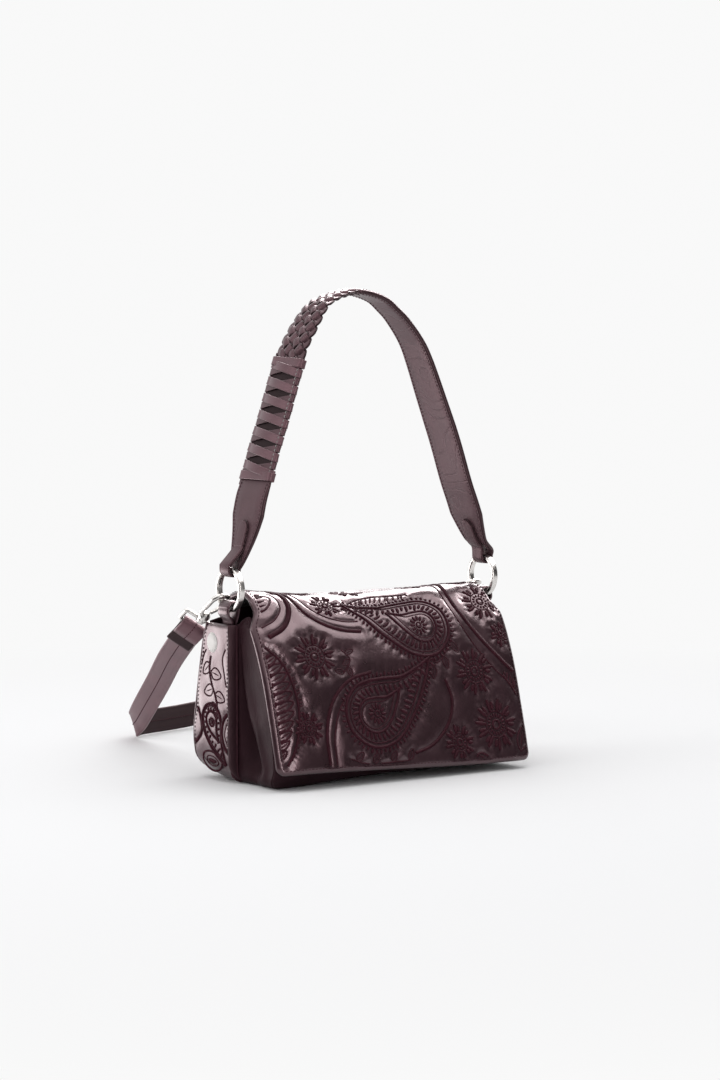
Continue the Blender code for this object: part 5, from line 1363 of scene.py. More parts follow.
def wrap(side, start_way):
    middle, out, way = bar_of(side)
    reach = SWIVEL_WIRE_RADIUS + GAP * 2 + STRAP_THICKNESS / 2
    through = out.cross(way).normalized() * start_way
    turns = [math.pi * k / 16 for k in range(17)]
    points = [middle + through * (reach * math.cos(t)) - out * (reach * math.sin(t)) for t in turns]
    return points, out, way, through * reach


def strap_route():
    """The strap's whole line with the way across it, as in the model."""
    left, left_out, left_way, left_step = wrap(-1, -1)
    right, right_out, right_way, right_step = wrap(1, 1)
    route = [Vector(p) for p in STRAP_ROUTE]
    across = [Vector(p).normalized() for p in STRAP_ACROSS]
    main = [left[-1], left[-1] + left_out * 0.010, *route, right[0] + right_out * 0.010, right[0]]
    sides = [left_way, left_way, *across, right_way, right_way]
    fine = smooth_line([tuple(p) for p in main], 6)
    fine_sides = unit(smooth_line([tuple(p) for p in sides], 6))
    drawn = unit(fine[6] - fine[0])
    offset = np.array(left_step.normalized() * (STRAP_THICKNESS + GAP * 2))
    reach = left_step.length
    points, ways = [], []
    for share in (1.0, 0.85, 0.7, 0.5, 0.3, 0.2, 0.1):
        spot = np.array(left[-1]) + drawn * (0.026 * share)
        part = min(1.0, share * 2.0)
        points.append(spot + offset * (reach * 2 / np.linalg.norm(offset) * (1 - part) + part))
        ways.append(left_way)
    points += [*left, *fine[2:-2], *right]
    ways += [left_way] * len(left) + [*fine_sides[2:-2]] + [right_way] * len(right)
    buckle = int(len(fine) * BUCKLE_ROUTE_SHARE)
    doubled = slice(2, len(fine) - buckle - 2)
    back, back_sides = fine[::-1][doubled], fine_sides[::-1][doubled]
    flow = tangents(back)
    outs = unit(np.cross(back_sides, flow))
    flip = math.copysign(1.0, -float(np.dot(outs[0], np.array(right_step))))
    for i in range(len(back)):
        share = min(1.0, (i + 2) / 9)
        step = right_step.length * 2 * (1 - share) + 0.0027 * share
        points.append(back[i] + outs[i] * flip * step)
        ways.append(back_sides[i])
    return np.array([tuple(p) for p in points]), unit(np.array([tuple(p) for p in ways]))


def dense(line, other, count):
    """A line and what goes with it at more places, smooth between the given ones."""
    fine = smooth_line(line, 3)
    run = distances(fine)
    places = np.linspace(0, run[-1], count)
    return read_at(places, run, fine), unit(read_at(places, run, smooth_line(other, 3)))


def build_crossbody(finish, edge, thread):
    count = 620
    line, across = dense(*strap_route(), count)
    widths, heights = np.full(count, STRAP_WIDTH / 2), np.full(count, STRAP_THICKNESS / 2)
    made = band(
        "crossbody_band", line, across, widths, heights, finish, "bag", "strap_leather", folded_section, edge
    )
    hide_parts("crossbody_strap")
    way = tangents(line)
    through = np.cross(way, square_to(way, across))
    for label, face in (("out", 1), ("in", -1)):
        seam = line + through * (face * STRAP_THICKNESS / 2 * 1.04)
        stitches(f"crossbody_seam_{label}", seam[6:-4], through[6:-4] * face, thread, "bag", "strap_leather")


# Walls, linings and zip
def wall_bulge(y, z):
    """How far the back gusset's leather stands out between its seams; it lies flat under the stud."""
    share = np.clip((y - SEAM_Y) / (rear_y(z) - SEAM_Y), 0.0, 1.0)
    near_stud = np.exp(-((y - STUD_PLACE[0]) ** 2 + (z - STUD_PLACE[1]) ** 2) / 0.011 ** 2)
    height = ease(z / 0.03) * (0.4 + 0.6 * ease((WALL_HEIGHT - z) / 0.02))
    swell = 0.0013 * np.sin(math.pi * share) + 0.0005 * ripple(y * 1000, z * 1000, 11.0)
    return swell * height * (1 - near_stud)


def gusset_at(side, relief=None):
    """The back gusset's outer face on one side: places are millimetres (y, z)."""
    def surface(across, up):
        y, z = np.asarray(across, float) * MM, np.asarray(up, float) * MM
        out = REAR_WIDTH / 2 + wall_bulge(y, z)
        if relief is not None:
            out = out + relief.at(np.asarray(across, float), np.asarray(up, float)) * MM
        points = lifted(np.stack([side * out, y, z], -1))
        return points, np.broadcast_to([side, 0.0, 0.0], points.shape)
    return surface


def gusset_pattern():
    """A climbing stem with leaves, a thick double scroll and an eye near the base."""
    made = []

    def draw(*what, **how):
        made.append(stroke(*what, **how))

    draw([(31, 93), (33, 82), (30, 72), (24, 62), (22, 52), (26, 42)], 1.6, 0.7)
    made += leaf((32, 86), (42, 78), 0.3, 1.1) + leaf((31, 80), (18, 77), 0.3, 1.1)
    made += leaf((27, 68), (40, 64), 0.3, 1.1) + leaf((25, 64), (13, 60), 0.3, 1.1)
    made += leaf((23, 56), (34, 52), 0.28, 1.0)
    draw([(12, 98), (16, 90), (14, 80), (11, 70)], 1.1, 0.6)
    draw([(36, 98), (42, 90), (46, 78), (48, 66)], 1.1, 0.6)
    made += paisley((30, 42), 24, math.radians(70), 1.0, 22)
    draw([(8, 52), (14, 46), (17, 36), (14, 27), (9, 22)], 2.4, 0.9)
    draw([(9, 46), (12, 40), (13, 34), (10, 28)], 0.9, 0.5)
    draw([(52, 54), (46, 44), (44, 34), (49, 26), (54, 22)], 2.4, 0.9)
    draw(round_line((30, 13.5), 13, 7, 17), 1.4, 0.7, closed=True)
    draw(round_line((30, 13.5), 8, 3.6, 13), 0.9, 0.5, closed=True)
    draw([(25, 13.5), (35, 13.5)], 2.4, 0.7, taper=True)

    def keep(across, up):
        y, z = across * MM, up * MM
        near_stud = (across - 29.5) ** 2 + (up - 101.5) ** 2 < 9.5 ** 2
        return (across > 9.5) & (y < rear_y(z) - 0.0050) & (up > 3.0) & (up < 112.5) & ~near_stud

    return inside(made, keep)


def build_rear_gusset(finish, thread, edge_thread):
    strokes = gusset_pattern()
    relief = Relief(strokes, (4, 0), (62, 118), 0.22, 0.30)
    line = u_line(REAR_WIDTH / 2 - LEATHER / 2, WALL_HEIGHT, CORNER_RADIUS - LEATHER / 2, LEATHER / 2)
    shares = bordered(40, length=GUSSET_RUN)
    rows = []
    for x, z, near in line:
        start = SEAM_Y + LEATHER / 2 + 0.0001
        end = float(rear_y(z)) - PIPING_RADIUS * 2 + 0.0002
        y = start + (end - start) * shares
        out = (wall_bulge(y, z) + relief.at(y * 1000, np.full_like(y, z * 1000)) * MM * ease(near * 2)) * near
        border = np.clip(1 - np.minimum(shares, 1 - shares) / 0.10, 0, 1)
        drop = 0.0035 * ease((z - 0.104) / 0.012) * border ** 2
        rows.append(np.stack([x + np.copysign(out, x), y, z - drop], 1))
    made = sheet("back_gusset_leather", lifted(np.array(rows)), LEATHER, finish, *ON_BAG)
    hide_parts("rear_gusset")
    for side, word in ((-1, "left"), (1, "right")):
        thread_mesh(f"gusset_embroidery_{word}", strokes, gusset_at(side, relief), thread, *ON_BAG)
        heights = np.linspace(0.020, STITCH_TOP, 80)
        for label, y in (("seam", np.full(80, SEAM_Y + 0.0034)), ("rim", rear_y(heights) - 0.0050)):
            spots, normals = gusset_at(side)(y * 1000, heights * 1000)
            name = f"gusset_{label}_stitches_{word}"
            stitches(name, spots, normals, edge_thread, *ON_BAG, EDGE_STITCH_PITCH)


def fold_in(t, z, near):
    """How far the front gusset folds in: round outer folds and a sharper valley."""
    fold = float(fold_place(z / WALL_HEIGHT))
    valley = fold * 0.66
    depth = BELLOWS_DEPTH * float(valley_depth(z / WALL_HEIGHT)) * near
    rising = np.clip((t - 0.05) / (valley - 0.05), 0.0, 1.0)
    falling = np.clip(1.0 - (t - valley) / (fold - valley), 0.0, 1.0)
    share = np.where(t < valley, rising, falling)
    soft = 0.45 * share + 0.55 * (1.0 - np.cos(share * math.pi / 2))
    crown = 0.0010 * near * np.sin(math.pi * np.clip((t - fold) / (1 - fold), 0, 1)) * ease(z / 0.02)
    return depth * soft - crown


def build_front_gusset(finish, thread):
    line = u_line(FRONT_WIDTH / 2 - LEATHER / 2, WALL_HEIGHT, FRONT_CORNER_RADIUS - LEATHER / 2, LEATHER / 2)
    shares = bordered(44, length=GUSSET_RUN)
    arch = np.sin(math.pi * np.clip((shares - 0.15) / 0.85, 0.0, 1.0)) ** 0.7
    rows = []
    for x, z, near in line:
        start = SEAM_Y - LEATHER / 2 - 0.0001
        end = float(front_y(z)) + LEATHER + 0.0002
        y = start + (end - start) * shares
        inset = fold_in(shares, z, near) + 0.0004 * near * ripple(y * 1000, z * 1000, 8.0, 2.0)
        high = ease((z - 0.100) / 0.016) * near * arch
        inset = inset + 0.0045 * high * ease((z - 0.108) / 0.008)
        rows.append(np.stack([x - np.copysign(inset, x), y, z + 0.0055 * high], 1))
    made = sheet("front_gusset_leather", settled(rows), LEATHER, finish, *ON_BAG)
    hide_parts("front_gusset")
    for side, row in (("left", rows[0]), ("right", rows[-1])):
        rim = np.array(row)[2:-2] - [0.0, 0.0, 0.0012]
        wire(f"front_rim_{side}", even(rim, 40), np.full(40, 0.0019), finish, *ON_BAG)
    for label, half, y, radius in (
        ("back", REAR_WIDTH / 2 - 0.0012, SEAM_Y + 0.0006, 0.0010),
        ("front", FRONT_WIDTH / 2 + 0.0006, SEAM_Y - 0.0014, 0.0009),
    ):
        outline = u_line(half, WALL_HEIGHT - 0.001, FRONT_CORNER_RADIUS, radius + 0.0005)
        run = np.array([(x, y, z) for x, z, _ in outline])
        if label == "back":
            run = lifted(run)
        wire(f"divider_welt_{label}", run, np.full(len(run), radius), thread, *ON_BAG, 8)


def panel_grid(y_at, half_width, corner, base, top, inward):
    rows = []
    for z in base + (top - base) * bordered(44, length=top - base):
        half = float(half_at(z - base, half_width, corner))
        x = -half + 2 * half * bordered(48, length=half * 2)
        swell = 0.0004 * ripple(x * 1000, z * 1000, 17.0, 3.0)
        y = float(y_at(z)) + inward * (LEATHER / 2) + swell * 0.5
        rows.append(np.stack([x, y, np.full_like(x, z)], 1))
    return np.array(rows)


def along_back(half_width, top, corner, base, inward=0.0):
    """A line round the back panel's border, on its face or some way inside it."""
    u = u_line(half_width, top, corner, base)
    return lifted(np.stack([u[:, 0], rear_y(u[:, 1]) - inward, u[:, 1]], 1))


def build_panels(finish, plain, thread):
    base = 0.0006
    front = panel_grid(front_y, FRONT_WIDTH / 2, FRONT_CORNER_RADIUS, base, WALL_HEIGHT - 0.0005, 1)
    made = sheet("front_panel_leather", settled(front), LEATHER, finish, *ON_BAG)
    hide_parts("front_panel")
    inset = PIPING_RADIUS * 2
    half = REAR_WIDTH / 2 - inset
    back = panel_grid(rear_y, half, CORNER_RADIUS - inset, inset, ROOT_HEIGHT, -1)
    over = np.clip((back[..., 2] - WALL_HEIGHT) / 0.004, 0.0, 1.0)
    back[..., 0] *= 1 + (ROOT_HALF_WIDTH / half - 1) * ease(over)
    panel = sheet("back_panel_leather", lifted(back), LEATHER, finish, *ON_BAG)
    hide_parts("rear_panel")
    radius = PIPING_RADIUS
    cord = along_back(REAR_WIDTH / 2 - radius, WALL_HEIGHT - 0.001, CORNER_RADIUS - radius, radius, radius)
    piping = wire("back_piping", cord, radius, plain, *ON_BAG, 12)
    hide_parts("rear_piping")
    rows = []
    for z in 0.0004 + (WALL_HEIGHT - 0.0004) * bordered(44, length=WALL_HEIGHT):
        width = float(half_at(z, REAR_WIDTH / 2, CORNER_RADIUS)) + LIP * min(1.0, z / CORNER_RADIUS)
        width += 0.0003 * math.sin(z * 230)
        x = -width + 2 * width * bordered(40, 0.0003, 0.0009, width * 2)
        rows.append(np.stack([x, np.full_like(x, SEAM_Y), np.full_like(x, z)], 1))
    divider = sheet("divider_leather", np.array(rows), LEATHER, plain, *ON_BAG, 0.0008)
    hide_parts("divider_panel")
    inset = 0.008
    seam = along_back(REAR_WIDTH / 2 - inset, STITCH_TOP, CORNER_RADIUS - 0.006, inset)
    height = 0.1125
    top = np.array([(x, float(front_y(height)), height) for x in np.linspace(-0.104, 0.104, 60)])
    for name, line, outward in (("back_panel_stitches", seam, 1.0), ("front_rim_stitches", top, -1.0)):
        normals = np.tile([0.0, outward, 0.0], (len(line), 1))
        stitches(name, line, normals, thread, *ON_BAG, EDGE_STITCH_PITCH)


def build_lining(name, node, front, back, half_width, base, top, finish):
    rings = []
    for share in np.concatenate([[0, 0.004, 0.012, 0.03, 0.07], np.linspace(0.12, 1.0, 26)]):
        z = base + (top - base) * share
        half = float(half_at(z - base + 0.002, half_width, CORNER_RADIUS))
        y0, y1 = float(front(z)), float(back(z))
        soft = 0.0010 * math.sin(math.pi * share)
        a = np.linspace(-half, half, 40)
        fold = soft * (0.6 + 0.4 * ripple(a * 1000, z * 1000, 14.0, 4.0))
        s = np.linspace(y0, y1, 12)
        ring = [(x, y0 + f, z) for x, f in zip(a[:-1], fold)]
        ring += [(half - soft, y, z) for y in s[:-1]]
        ring += [(x, y1 - f, z) for x, f in zip(a[::-1][:-1], fold)]
        ring += [(-half + soft, y, z) for y in s[::-1][:-1]]
        rings.append(ring)
    points = settled(lifted(np.array(rings)))
    columns = points.shape[1]
    faces = grid_faces(len(rings), columns, 0, True)
    faces.append(tuple(range(columns)))
    made = add_mesh(name, points.reshape(-1, 3), faces, finish, "bag")
    turn_faces(made)
    solid = made.modifiers.new("Cloth", "SOLIDIFY")
    solid.thickness = 0.0008
    solid.offset = 0.0
    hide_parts(node)


def build_tape(name, node, start, end, finish):
    x = np.linspace(-TAPE_HALF_LENGTH, TAPE_HALF_LENGTH, 90)
    y = start + (end - start) * bordered(10, 0.0002, 0.0006, end - start)
    rows = []
    for value in y:
        wave = 0.00025 * ripple(x * 1000, value * 1000, 12.0, 5.0)
        rows.append(np.stack([x, np.full_like(x, value), TAPE_HEIGHT + wave], 1))
    made = sheet(name, np.array(rows), 0.0008, finish, "bag", "lining_cloth", 0.0003)
    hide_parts(node)


# Rings, studs and corner loops
def facing(point, way):
    return Matrix.Translation(point) @ Vector(way).to_track_quat("Z", "Y").to_matrix().to_4x4()


def build_ring(side, word, finish):
    inner, outer, half, edge = RING_OUTER_RADIUS - RING_THICKNESS, RING_OUTER_RADIUS, RING_HALF_WIDTH, 0.0009
    profile = []
    for cr, cz, first in (
        (outer - edge, half - edge, 90), (outer - edge, -half + edge, 0),
        (inner + edge, -half + edge, -90), (inner + edge, half - edge, -180),
    ):
        for k in range(6):
            angle = math.radians(first - 90 * k / 5)
            profile.append((cr + edge * math.cos(angle), cz + edge * math.sin(angle)))
    place = facing((side * RING_PLACE[0], RING_PLACE[1], RING_PLACE[2]), (side, 0, 0))
    made = lathe(f"ring_{word}_metal", profile, place, finish, f"ring_{word}_body", 96, True)
    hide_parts(f"ring_{word}")


def build_stud(side, word, finish):
    radius, crown = 0.0075, 0.0014
    profile = [(0.0, crown)]
    for s in np.linspace(0.1, 1, 16):
        profile.append((radius * 0.93 * s, crown * (0.25 + 0.75 * math.sqrt(max(0.0, 1 - s ** 2.6)))))
    profile += [(radius * 0.985, crown * 0.20), (radius, crown * 0.06), (radius, -0.0001), (0.0011, -0.0001)]
    profile += [(0.0011, -0.0035), (0.0, -0.0035)]
    place = facing((side * (REAR_WIDTH / 2 + GAP), *STUD_PLACE), (side, 0, 0))
    made = lathe(f"stud_{word}_cap", profile, place, finish, "bag", 64)
    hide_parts(f"stud_{word}")


def build_corner_loop(side, word, finish):
    reach = RING_HALF_WIDTH + 0.001 + 0.001
    crown = RING_PLACE[2] - math.sqrt(0.0135 ** 2 - (LOOP_WIDTH / 2 + 0.0012) ** 2) + 0.0008 + 0.001
    arc = crown - reach
    outer, inner, foot = 0.1142, 0.1112, 0.0965
    points = [(outer, foot), (outer, WALL_HEIGHT), (RING_PLACE[0] + reach, arc - reach)]
    points += [
        (RING_PLACE[0] + reach * math.cos(a), arc + reach * math.sin(a)) for a in np.linspace(0, math.pi, 13)
    ]
    points += [(inner, WALL_HEIGHT), (inner, foot)]
    fine = smooth_line(points, 6)
    share = np.clip((fine[:, 1] - WALL_HEIGHT) / (RING_OUTER_RADIUS / 2), 0.0, 1.0)
    leg = SEAM_Y + LEATHER / 2 + GAP + LOOP_LEG_WIDTH / 2
    line = np.stack([side * fine[:, 0], leg + (RING_PLACE[1] + 0.0012 - leg) * share, fine[:, 1]], 1)
    half = (LOOP_LEG_WIDTH + (LOOP_WIDTH - LOOP_LEG_WIDTH) * share) / 2
    across = np.tile(BACKWARD, (len(line), 1))
    heights = np.full(len(line), 0.00125)
    made = band(f"corner_loop_{word}_leather", line, across, half, heights, finish, *ON_BAG, soft_section)
    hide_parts(f"corner_loop_{word}")


# The flap
def build_flap(finish, lining, thread, edge_thread):
    strokes = flap_pattern()
    relief = Relief(strokes, (-118, FLAP_HIGH - 2), (118, FLAP_LOW + 2), 0.36, 0.85)
    downs = FLAP_HIGH + (FLAP_LOW - FLAP_HIGH) * bordered(FLAP_ROWS, 0.0003, 0.0010, FLAP_LENGTH)
    shares = bordered(FLAP_COLUMNS, 0.0003, 0.0010, 0.226)
    halves = flap_half(downs) / MM
    across = (-halves[:, None] + 2 * halves[:, None] * shares[None, :])
    down = np.broadcast_to(downs[:, None], across.shape)
    top, normal = flap_at(across, down, relief)
    bare, _ = flap_at(across, down)
    near = np.minimum(np.minimum(halves[:, None] - np.abs(across), FLAP_LOW - down), down - FLAP_HIGH) * MM
    half = edge_round(np.maximum(near, 0.0), FLAP_EDGE_RADIUS, FLAP_THICKNESS)[..., None]
    middle = bare - normal * FLAP_THICKNESS / 2
    lift = (top - bare) * ease(near / 0.004)[..., None]
    up = normal * half + lift
    made = pillow("flap_leather", middle, up, -normal * half, finish, None, lining)
    join_flap(made)
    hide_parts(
        "flap_front_skin", "flap_front_padding", "flap_front_lining", "flap_top_skin", "flap_top_lining"
    )

    def over(places_across, places_down):
        return flap_at(places_across, places_down, relief)

    join_flap(thread_mesh("flap_embroidery", strokes, over, thread, None, "flap_leather"))
    inset = FLAP_STITCH_INSET
    corner = FLAP_CORNER / MM - inset
    spots = []
    for d in np.linspace(FLAP_HIGH + 5, FLAP_LOW - inset - corner, 120):
        spots.append((-float(flap_half(np.array(d))) / MM + inset, d))
    side = -float(flap_half(np.array(60.0))) / MM + inset
    for a in np.linspace(0, math.pi / 2, 8)[1:]:
        spots.append((side + corner - corner * math.cos(a), FLAP_LOW - inset - corner + corner * math.sin(a)))
    left = list(spots)
    spots += [(x, FLAP_LOW - inset) for x in np.linspace(side + corner, -side - corner, 150)[1:]]
    spots += [(-a, d) for a, d in reversed(left)]
    spots = np.array(spots)
    points, normals = over(spots[:, 0], spots[:, 1])
    edge = stitches(
        "flap_edge_stitches", points, normals, edge_thread, None, "flap_leather", FLAP_STITCH_PITCH
    )
    join_flap(edge)
    points, normals = over(np.linspace(-99, 99, 90), np.full(90, FLAP_HIGH + 3.0))
    stitches(
        "flap_root_stitches", points, normals, edge_thread, "flap_top", "flap_leather", FLAP_STITCH_PITCH
    )


def join_flap(made):
    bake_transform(made)


# Materials: the maker, the panel's colour, its brightness and the maker's further settings
MADE = {}
FINISHES = {
    "flap_leather": (glossy_leather, "leather", 1.0, 0.30),
    # A lighter copy of the leather for the back gussets, the corner loops and the model's other solids: its
    # lighter colour is painted sheen.
    "gusset_leather": (glossy_leather, "leather", 1.1, 0.34),
    # A darker, duller copy of the leather for the front gusset, the panels and the front rims: its darker
    # colour is painted shade.
    "fold_leather": (glossy_leather, "leather", 0.9, 0.45, 0.0, 0.08),
    "edge_leather": (glossy_leather, "leather", 1.2, 0.38, 0.12, 0.5),
    "strap_leather": (strap_leather, "strap", 1.0, 0.42),
    # A lighter copy of the strap leather: painted light on the long strap's near face.
    "long_strap_leather": (strap_leather, "strap", 1.7, 0.42),
    "tooled_leather": (strap_leather, "strap", 1.0, 0.40, 0.25),
    "lace_leather": (strap_leather, "strap", 1.5, 0.36),
    "braid_leather": (strap_leather, "strap", 0.95, 0.36),
    # The darkest copy of the strap leather: painted shade for the strap under the lacing and the braid, the
    # braid strands' edges and the long strap's inner face.
    "core_leather": (strap_leather, "strap", 0.10, 0.7),
    "painted_edge": (strap_leather, "strap", 0.35, 0.36),
    "embroidery": (embroidery_thread, "thread", 1.0),
    "seam_thread": (embroidery_thread, "leather", 1.5),
    "strap_thread": (embroidery_thread, "strap", 1.7),
    "light_thread": (embroidery_thread, "metal", 0.45),
    "lining_cloth": (woven_cloth, "cloth", 1.0),
    "tape_cloth": (woven_cloth, "cloth", 0.8, 3400.0),
    "hook_metal": (plated_metal, "metal", 1.08, 0.34),
    "ring_metal": (plated_metal, "metal", 1.05, 0.28),
    "stud_metal": (plated_metal, "metal", 0.88, 0.55, 0.15),
    "zip_metal": (plated_metal, "metal", 0.8, 0.28),
}


def finish_of(name):
    """The bag's materials, each made once from the colours in the panel."""
    if name not in MADE:
        if name == "board":
            MADE[name] = padding_foam(name, (0.05, 0.045, 0.04))
        else:
            maker, source, factor, *settings = FINISHES[name]
            colour = tuple(getattr(bpy.context.scene.bag_colours, source))
            MADE[name] = maker(name, shade(colour, factor), *settings)
    return MADE[name]


def dress(node, finish):
    """Gives a solid of the model, whose shape stays, its material."""
    mesh = NODES[node].data
    mesh.materials.clear()
    mesh.materials.append(finish_of(finish))


SOLID_FINISHES = {
    "zip_teeth_front": "zip_metal", "zip_teeth_back": "zip_metal", "zip_stop_left": "zip_metal",
    "zip_stop_right": "zip_metal", "zip_slider": "hook_metal", "zip_puller": "hook_metal",
    "stud_washer_left": "zip_metal", "stud_washer_right": "zip_metal", "flap_magnet": "zip_metal",
    "panel_magnet": "zip_metal", "strap_buckle": "hook_metal", "base_board": "board",
}


# What the panel in the sidebar changes
def colour_prop(name, text, value):
    return bpy.props.FloatVectorProperty(
        name=name, description=text, default=value, size=3, min=0.0, max=1.0, subtype="COLOR"
    )


class BagColours(bpy.types.PropertyGroup):
    leather: colour_prop("Leather", "Oiled leather of the flap and body", (0.030, 0.0125, 0.0165))
    strap: colour_prop("Strap leather", "Leather of the handle, braid and long strap", (0.080, 0.044, 0.051))
    thread: colour_prop("Embroidery", "Thread of the tone-on-tone embroidery", (0.040, 0.0095, 0.0155))
    cloth: colour_prop("Lining", "Lining cloth and zip tapes", (0.012, 0.011, 0.012))
    metal: colour_prop("Metal", "Plated rings, hooks, studs and zip", (0.74, 0.715, 0.69))


class BagStageSettings(bpy.types.PropertyGroup):
    floor: bpy.props.FloatProperty(
        name="Floor tone", description="How pale the floor is", default=0.93, min=0.0, max=1.0,
        subtype="FACTOR",
    )
    top: bpy.props.FloatProperty(
        name="Top light", description="Power of the large light above", default=17.5, min=0.0, unit="POWER"
    )
    side: bpy.props.FloatProperty(
        name="Side light", description="Power of the light at the left and back", default=6.0, min=0.0,
        unit="POWER",
    )
    azimuth: bpy.props.FloatProperty(
        name="View turn", description="How far the camera stands to the bag's left",
        default=CAMERA_AZIMUTH, subtype="ANGLE", unit="ROTATION",
    )
    height: bpy.props.FloatProperty(
        name="View height", description="How far the camera looks down", default=CAMERA_HEIGHT,
        subtype="ANGLE", unit="ROTATION",
    )


# Operators
class BAG_OT_body(bpy.types.Operator):
    """Gussets, panels, piping and divider, with the gussets' embroidery"""
    bl_idname = "bag.body"
    bl_label = "Leather body"

    def execute(self, context):
        fold, thread = finish_of("fold_leather"), finish_of("seam_thread")
        build_rear_gusset(finish_of("gusset_leather"), finish_of("embroidery"), thread)
        build_front_gusset(fold, thread)
        build_panels(fold, finish_of("edge_leather"), thread)
        return {"FINISHED"}


class BAG_OT_lining(bpy.types.Operator):
    """Both compartments' linings and the zip's tapes"""
    bl_idname = "bag.lining"
    bl_label = "Linings and tapes"

    def execute(self, context):
        cloth, tape = finish_of("lining_cloth"), finish_of("tape_cloth")
        build_lining(
            "back_compartment_lining", "rear_lining", lambda z: 0.0080, lambda z: rear_y(z) - 0.0038,
            0.1095, 0.0048, LINING_TOP, cloth,
        )
        build_lining(
            "front_compartment_lining", "front_lining", lambda z: front_y(z) + 0.0055, lambda z: 0.0040,
            0.0951, 0.0030, LINING_TOP, cloth,
        )
        build_tape("zip_tape_front_cloth", "zip_tape_front", 0.0073, 0.0203, tape)
        build_tape("zip_tape_back_cloth", "zip_tape_back", 0.0259, 0.0390, tape)
        return {"FINISHED"}


class BAG_OT_flap(bpy.types.Operator):
    """The soft flap that folds over the front, its embroidery and edge stitches"""
    bl_idname = "bag.flap"
    bl_label = "Embroidered flap"

    def execute(self, context):
        leather, cloth = finish_of("flap_leather"), finish_of("lining_cloth")
        build_flap(leather, cloth, finish_of("embroidery"), finish_of("seam_thread"))
        return {"FINISHED"}


class BAG_OT_fittings(bpy.types.Operator):
    """Rings, studs and the corner loops that hold the rings"""
    bl_idname = "bag.fittings"
    bl_label = "Rings, studs and loops"

    def execute(self, context):
        for side, word in ((-1, "left"), (1, "right")):
            build_ring(side, word, finish_of("ring_metal"))
            build_stud(side, word, finish_of("stud_metal"))
            build_corner_loop(side, word, finish_of("gusset_leather"))
        return {"FINISHED"}


class BAG_OT_handle(bpy.types.Operator):
    """The handle: two strap ends, the crosswise lacing and the flat braid"""
    bl_idname = "bag.handle"
    bl_label = "Laced and braided handle"

    def execute(self, context):
        main = handle_line()
        edge, thread = finish_of("painted_edge"), finish_of("strap_thread")
        lacing_end = LACING_START + LACING_LENGTH
        total = distances(main)[-1]
        left = part_of(main, 0.0, lacing_end - 0.004, 150)
        right = part_of(main, lacing_end + BRAID_LENGTH - 0.003, total, 190)[::-1]
        for word, side, line, shares, leather in (
            ("left", -1, left, LEFT_WIDTH_SHARES, "strap_leather"),
            ("right", 1, right, RIGHT_WIDTH_SHARES, "tooled_leather"),
        ):
            build_strap_end(word, side, line, shares, finish_of(leather), edge, thread)
        build_lacing(main, finish_of("lace_leather"), finish_of("light_thread"))
        build_braid(main, finish_of("braid_leather"))
        return {"FINISHED"}


class BAG_OT_strap(bpy.types.Operator):
    """Hooks, gates, swivel loops and the long strap behind the bag"""
    bl_idname = "bag.strap"
    bl_label = "Hooks and long strap"

    def execute(self, context):
        for side, word in ((-1, "left"), (1, "right")):
            build_hook(side, word, finish_of("hook_metal"))
        # The long strap: its near face a lighter copy of the strap leather as painted light, its inner face
        # the darkest copy as painted shade.
        build_crossbody(finish_of("long_strap_leather"), finish_of("core_leather"), finish_of("embroidery"))
        return {"FINISHED"}


class BAG_OT_metal(bpy.types.Operator):
    """Materials of the model's own solids: zip, buckle, magnets, washers and base board"""
    bl_idname = "bag.metal"
    bl_label = "Zip, buckle and hidden parts"

    def execute(self, context):
        for node in NODES:
            dress(node, SOLID_FINISHES.get(node, "gusset_leather"))
        return {"FINISHED"}


def stage_mesh(name, points, faces, finish):
    made = add_mesh(name, points, faces, finish, None, smooth=False)
    return made


def add_softbox(name, place, aim, size, power):
    lamp = bpy.data.lights.new(name, "AREA")
    lamp.shape = "RECTANGLE"
    lamp.size, lamp.size_y = size
    lamp.energy = power
    made = bpy.data.objects.new(name, lamp)
    bpy.context.scene.collection.objects.link(made)
    made.location = place
    made.rotation_mode = "QUATERNION"
    made.rotation_quaternion = (Vector(aim) - Vector(place)).to_track_quat("-Z", "Y")
    made.visible_camera = False


def add_card(name, place, aim, size, tone):
    """A flag, or with a tone above zero a bright card, that only shows in what is glossy."""
    glow = (1.0, 0.97, 0.97, 1.0)
    finish = Finish(name, 1.0, specular_ior_level=0.0, emission_strength=tone, emission_color=glow)
    finish.paint((0.02, 0.02, 0.02))
    middle = Vector(place)
    way = (middle - Vector(aim)).normalized()
    across = way.cross(Vector((0.0, 0.0, 1.0))).normalized()
    up = across.cross(way)
    corners = [
        middle + across * a * size[0] + up * b * size[1] for a, b in ((-1, -1), (1, -1), (1, 1), (-1, 1))
    ]
    card = stage_mesh(name, corners, [(0, 1, 2, 3)], finish.material)
    for ray in ("camera", "diffuse", "transmission", "volume_scatter", "shadow"):
        setattr(card, f"visible_{ray}", False)


def floor_finish(tone):
    """A pale floor that keeps the shadow near the bag and fades to the background's tone further off."""
    made = Finish("floor", 0.9, specular_ior_level=0.0)
    where = made.place()
    far = made.node("ShaderNodeVectorMath", {"operation": "LENGTH"}, {0: where}).outputs["Value"]
    fade = ((Number(made, far) - 0.42) / 0.5).clamped()
    paths = made.node("ShaderNodeLightPath")
    seen = Number(made, paths.outputs["Is Camera Ray"]) + Number(made, paths.outputs["Is Glossy Ray"])
    seen = seen + Number(made, paths.outputs["Is Transmission Ray"])
    made.paint((tone, tone, tone))
    glow = made.node("ShaderNodeEmission", None, {"Color": BACKDROP, "Strength": 1.0})
    mix = made.node("ShaderNodeMixShader", None, {0: fade * seen.clamped()})
    made.feed(mix.inputs[1], made.shader.outputs[0])
    made.feed(mix.inputs[2], glow.outputs[0])
    made.feed(made.tree.nodes["Material Output"].inputs["Surface"], mix.outputs[0])
    return made.material


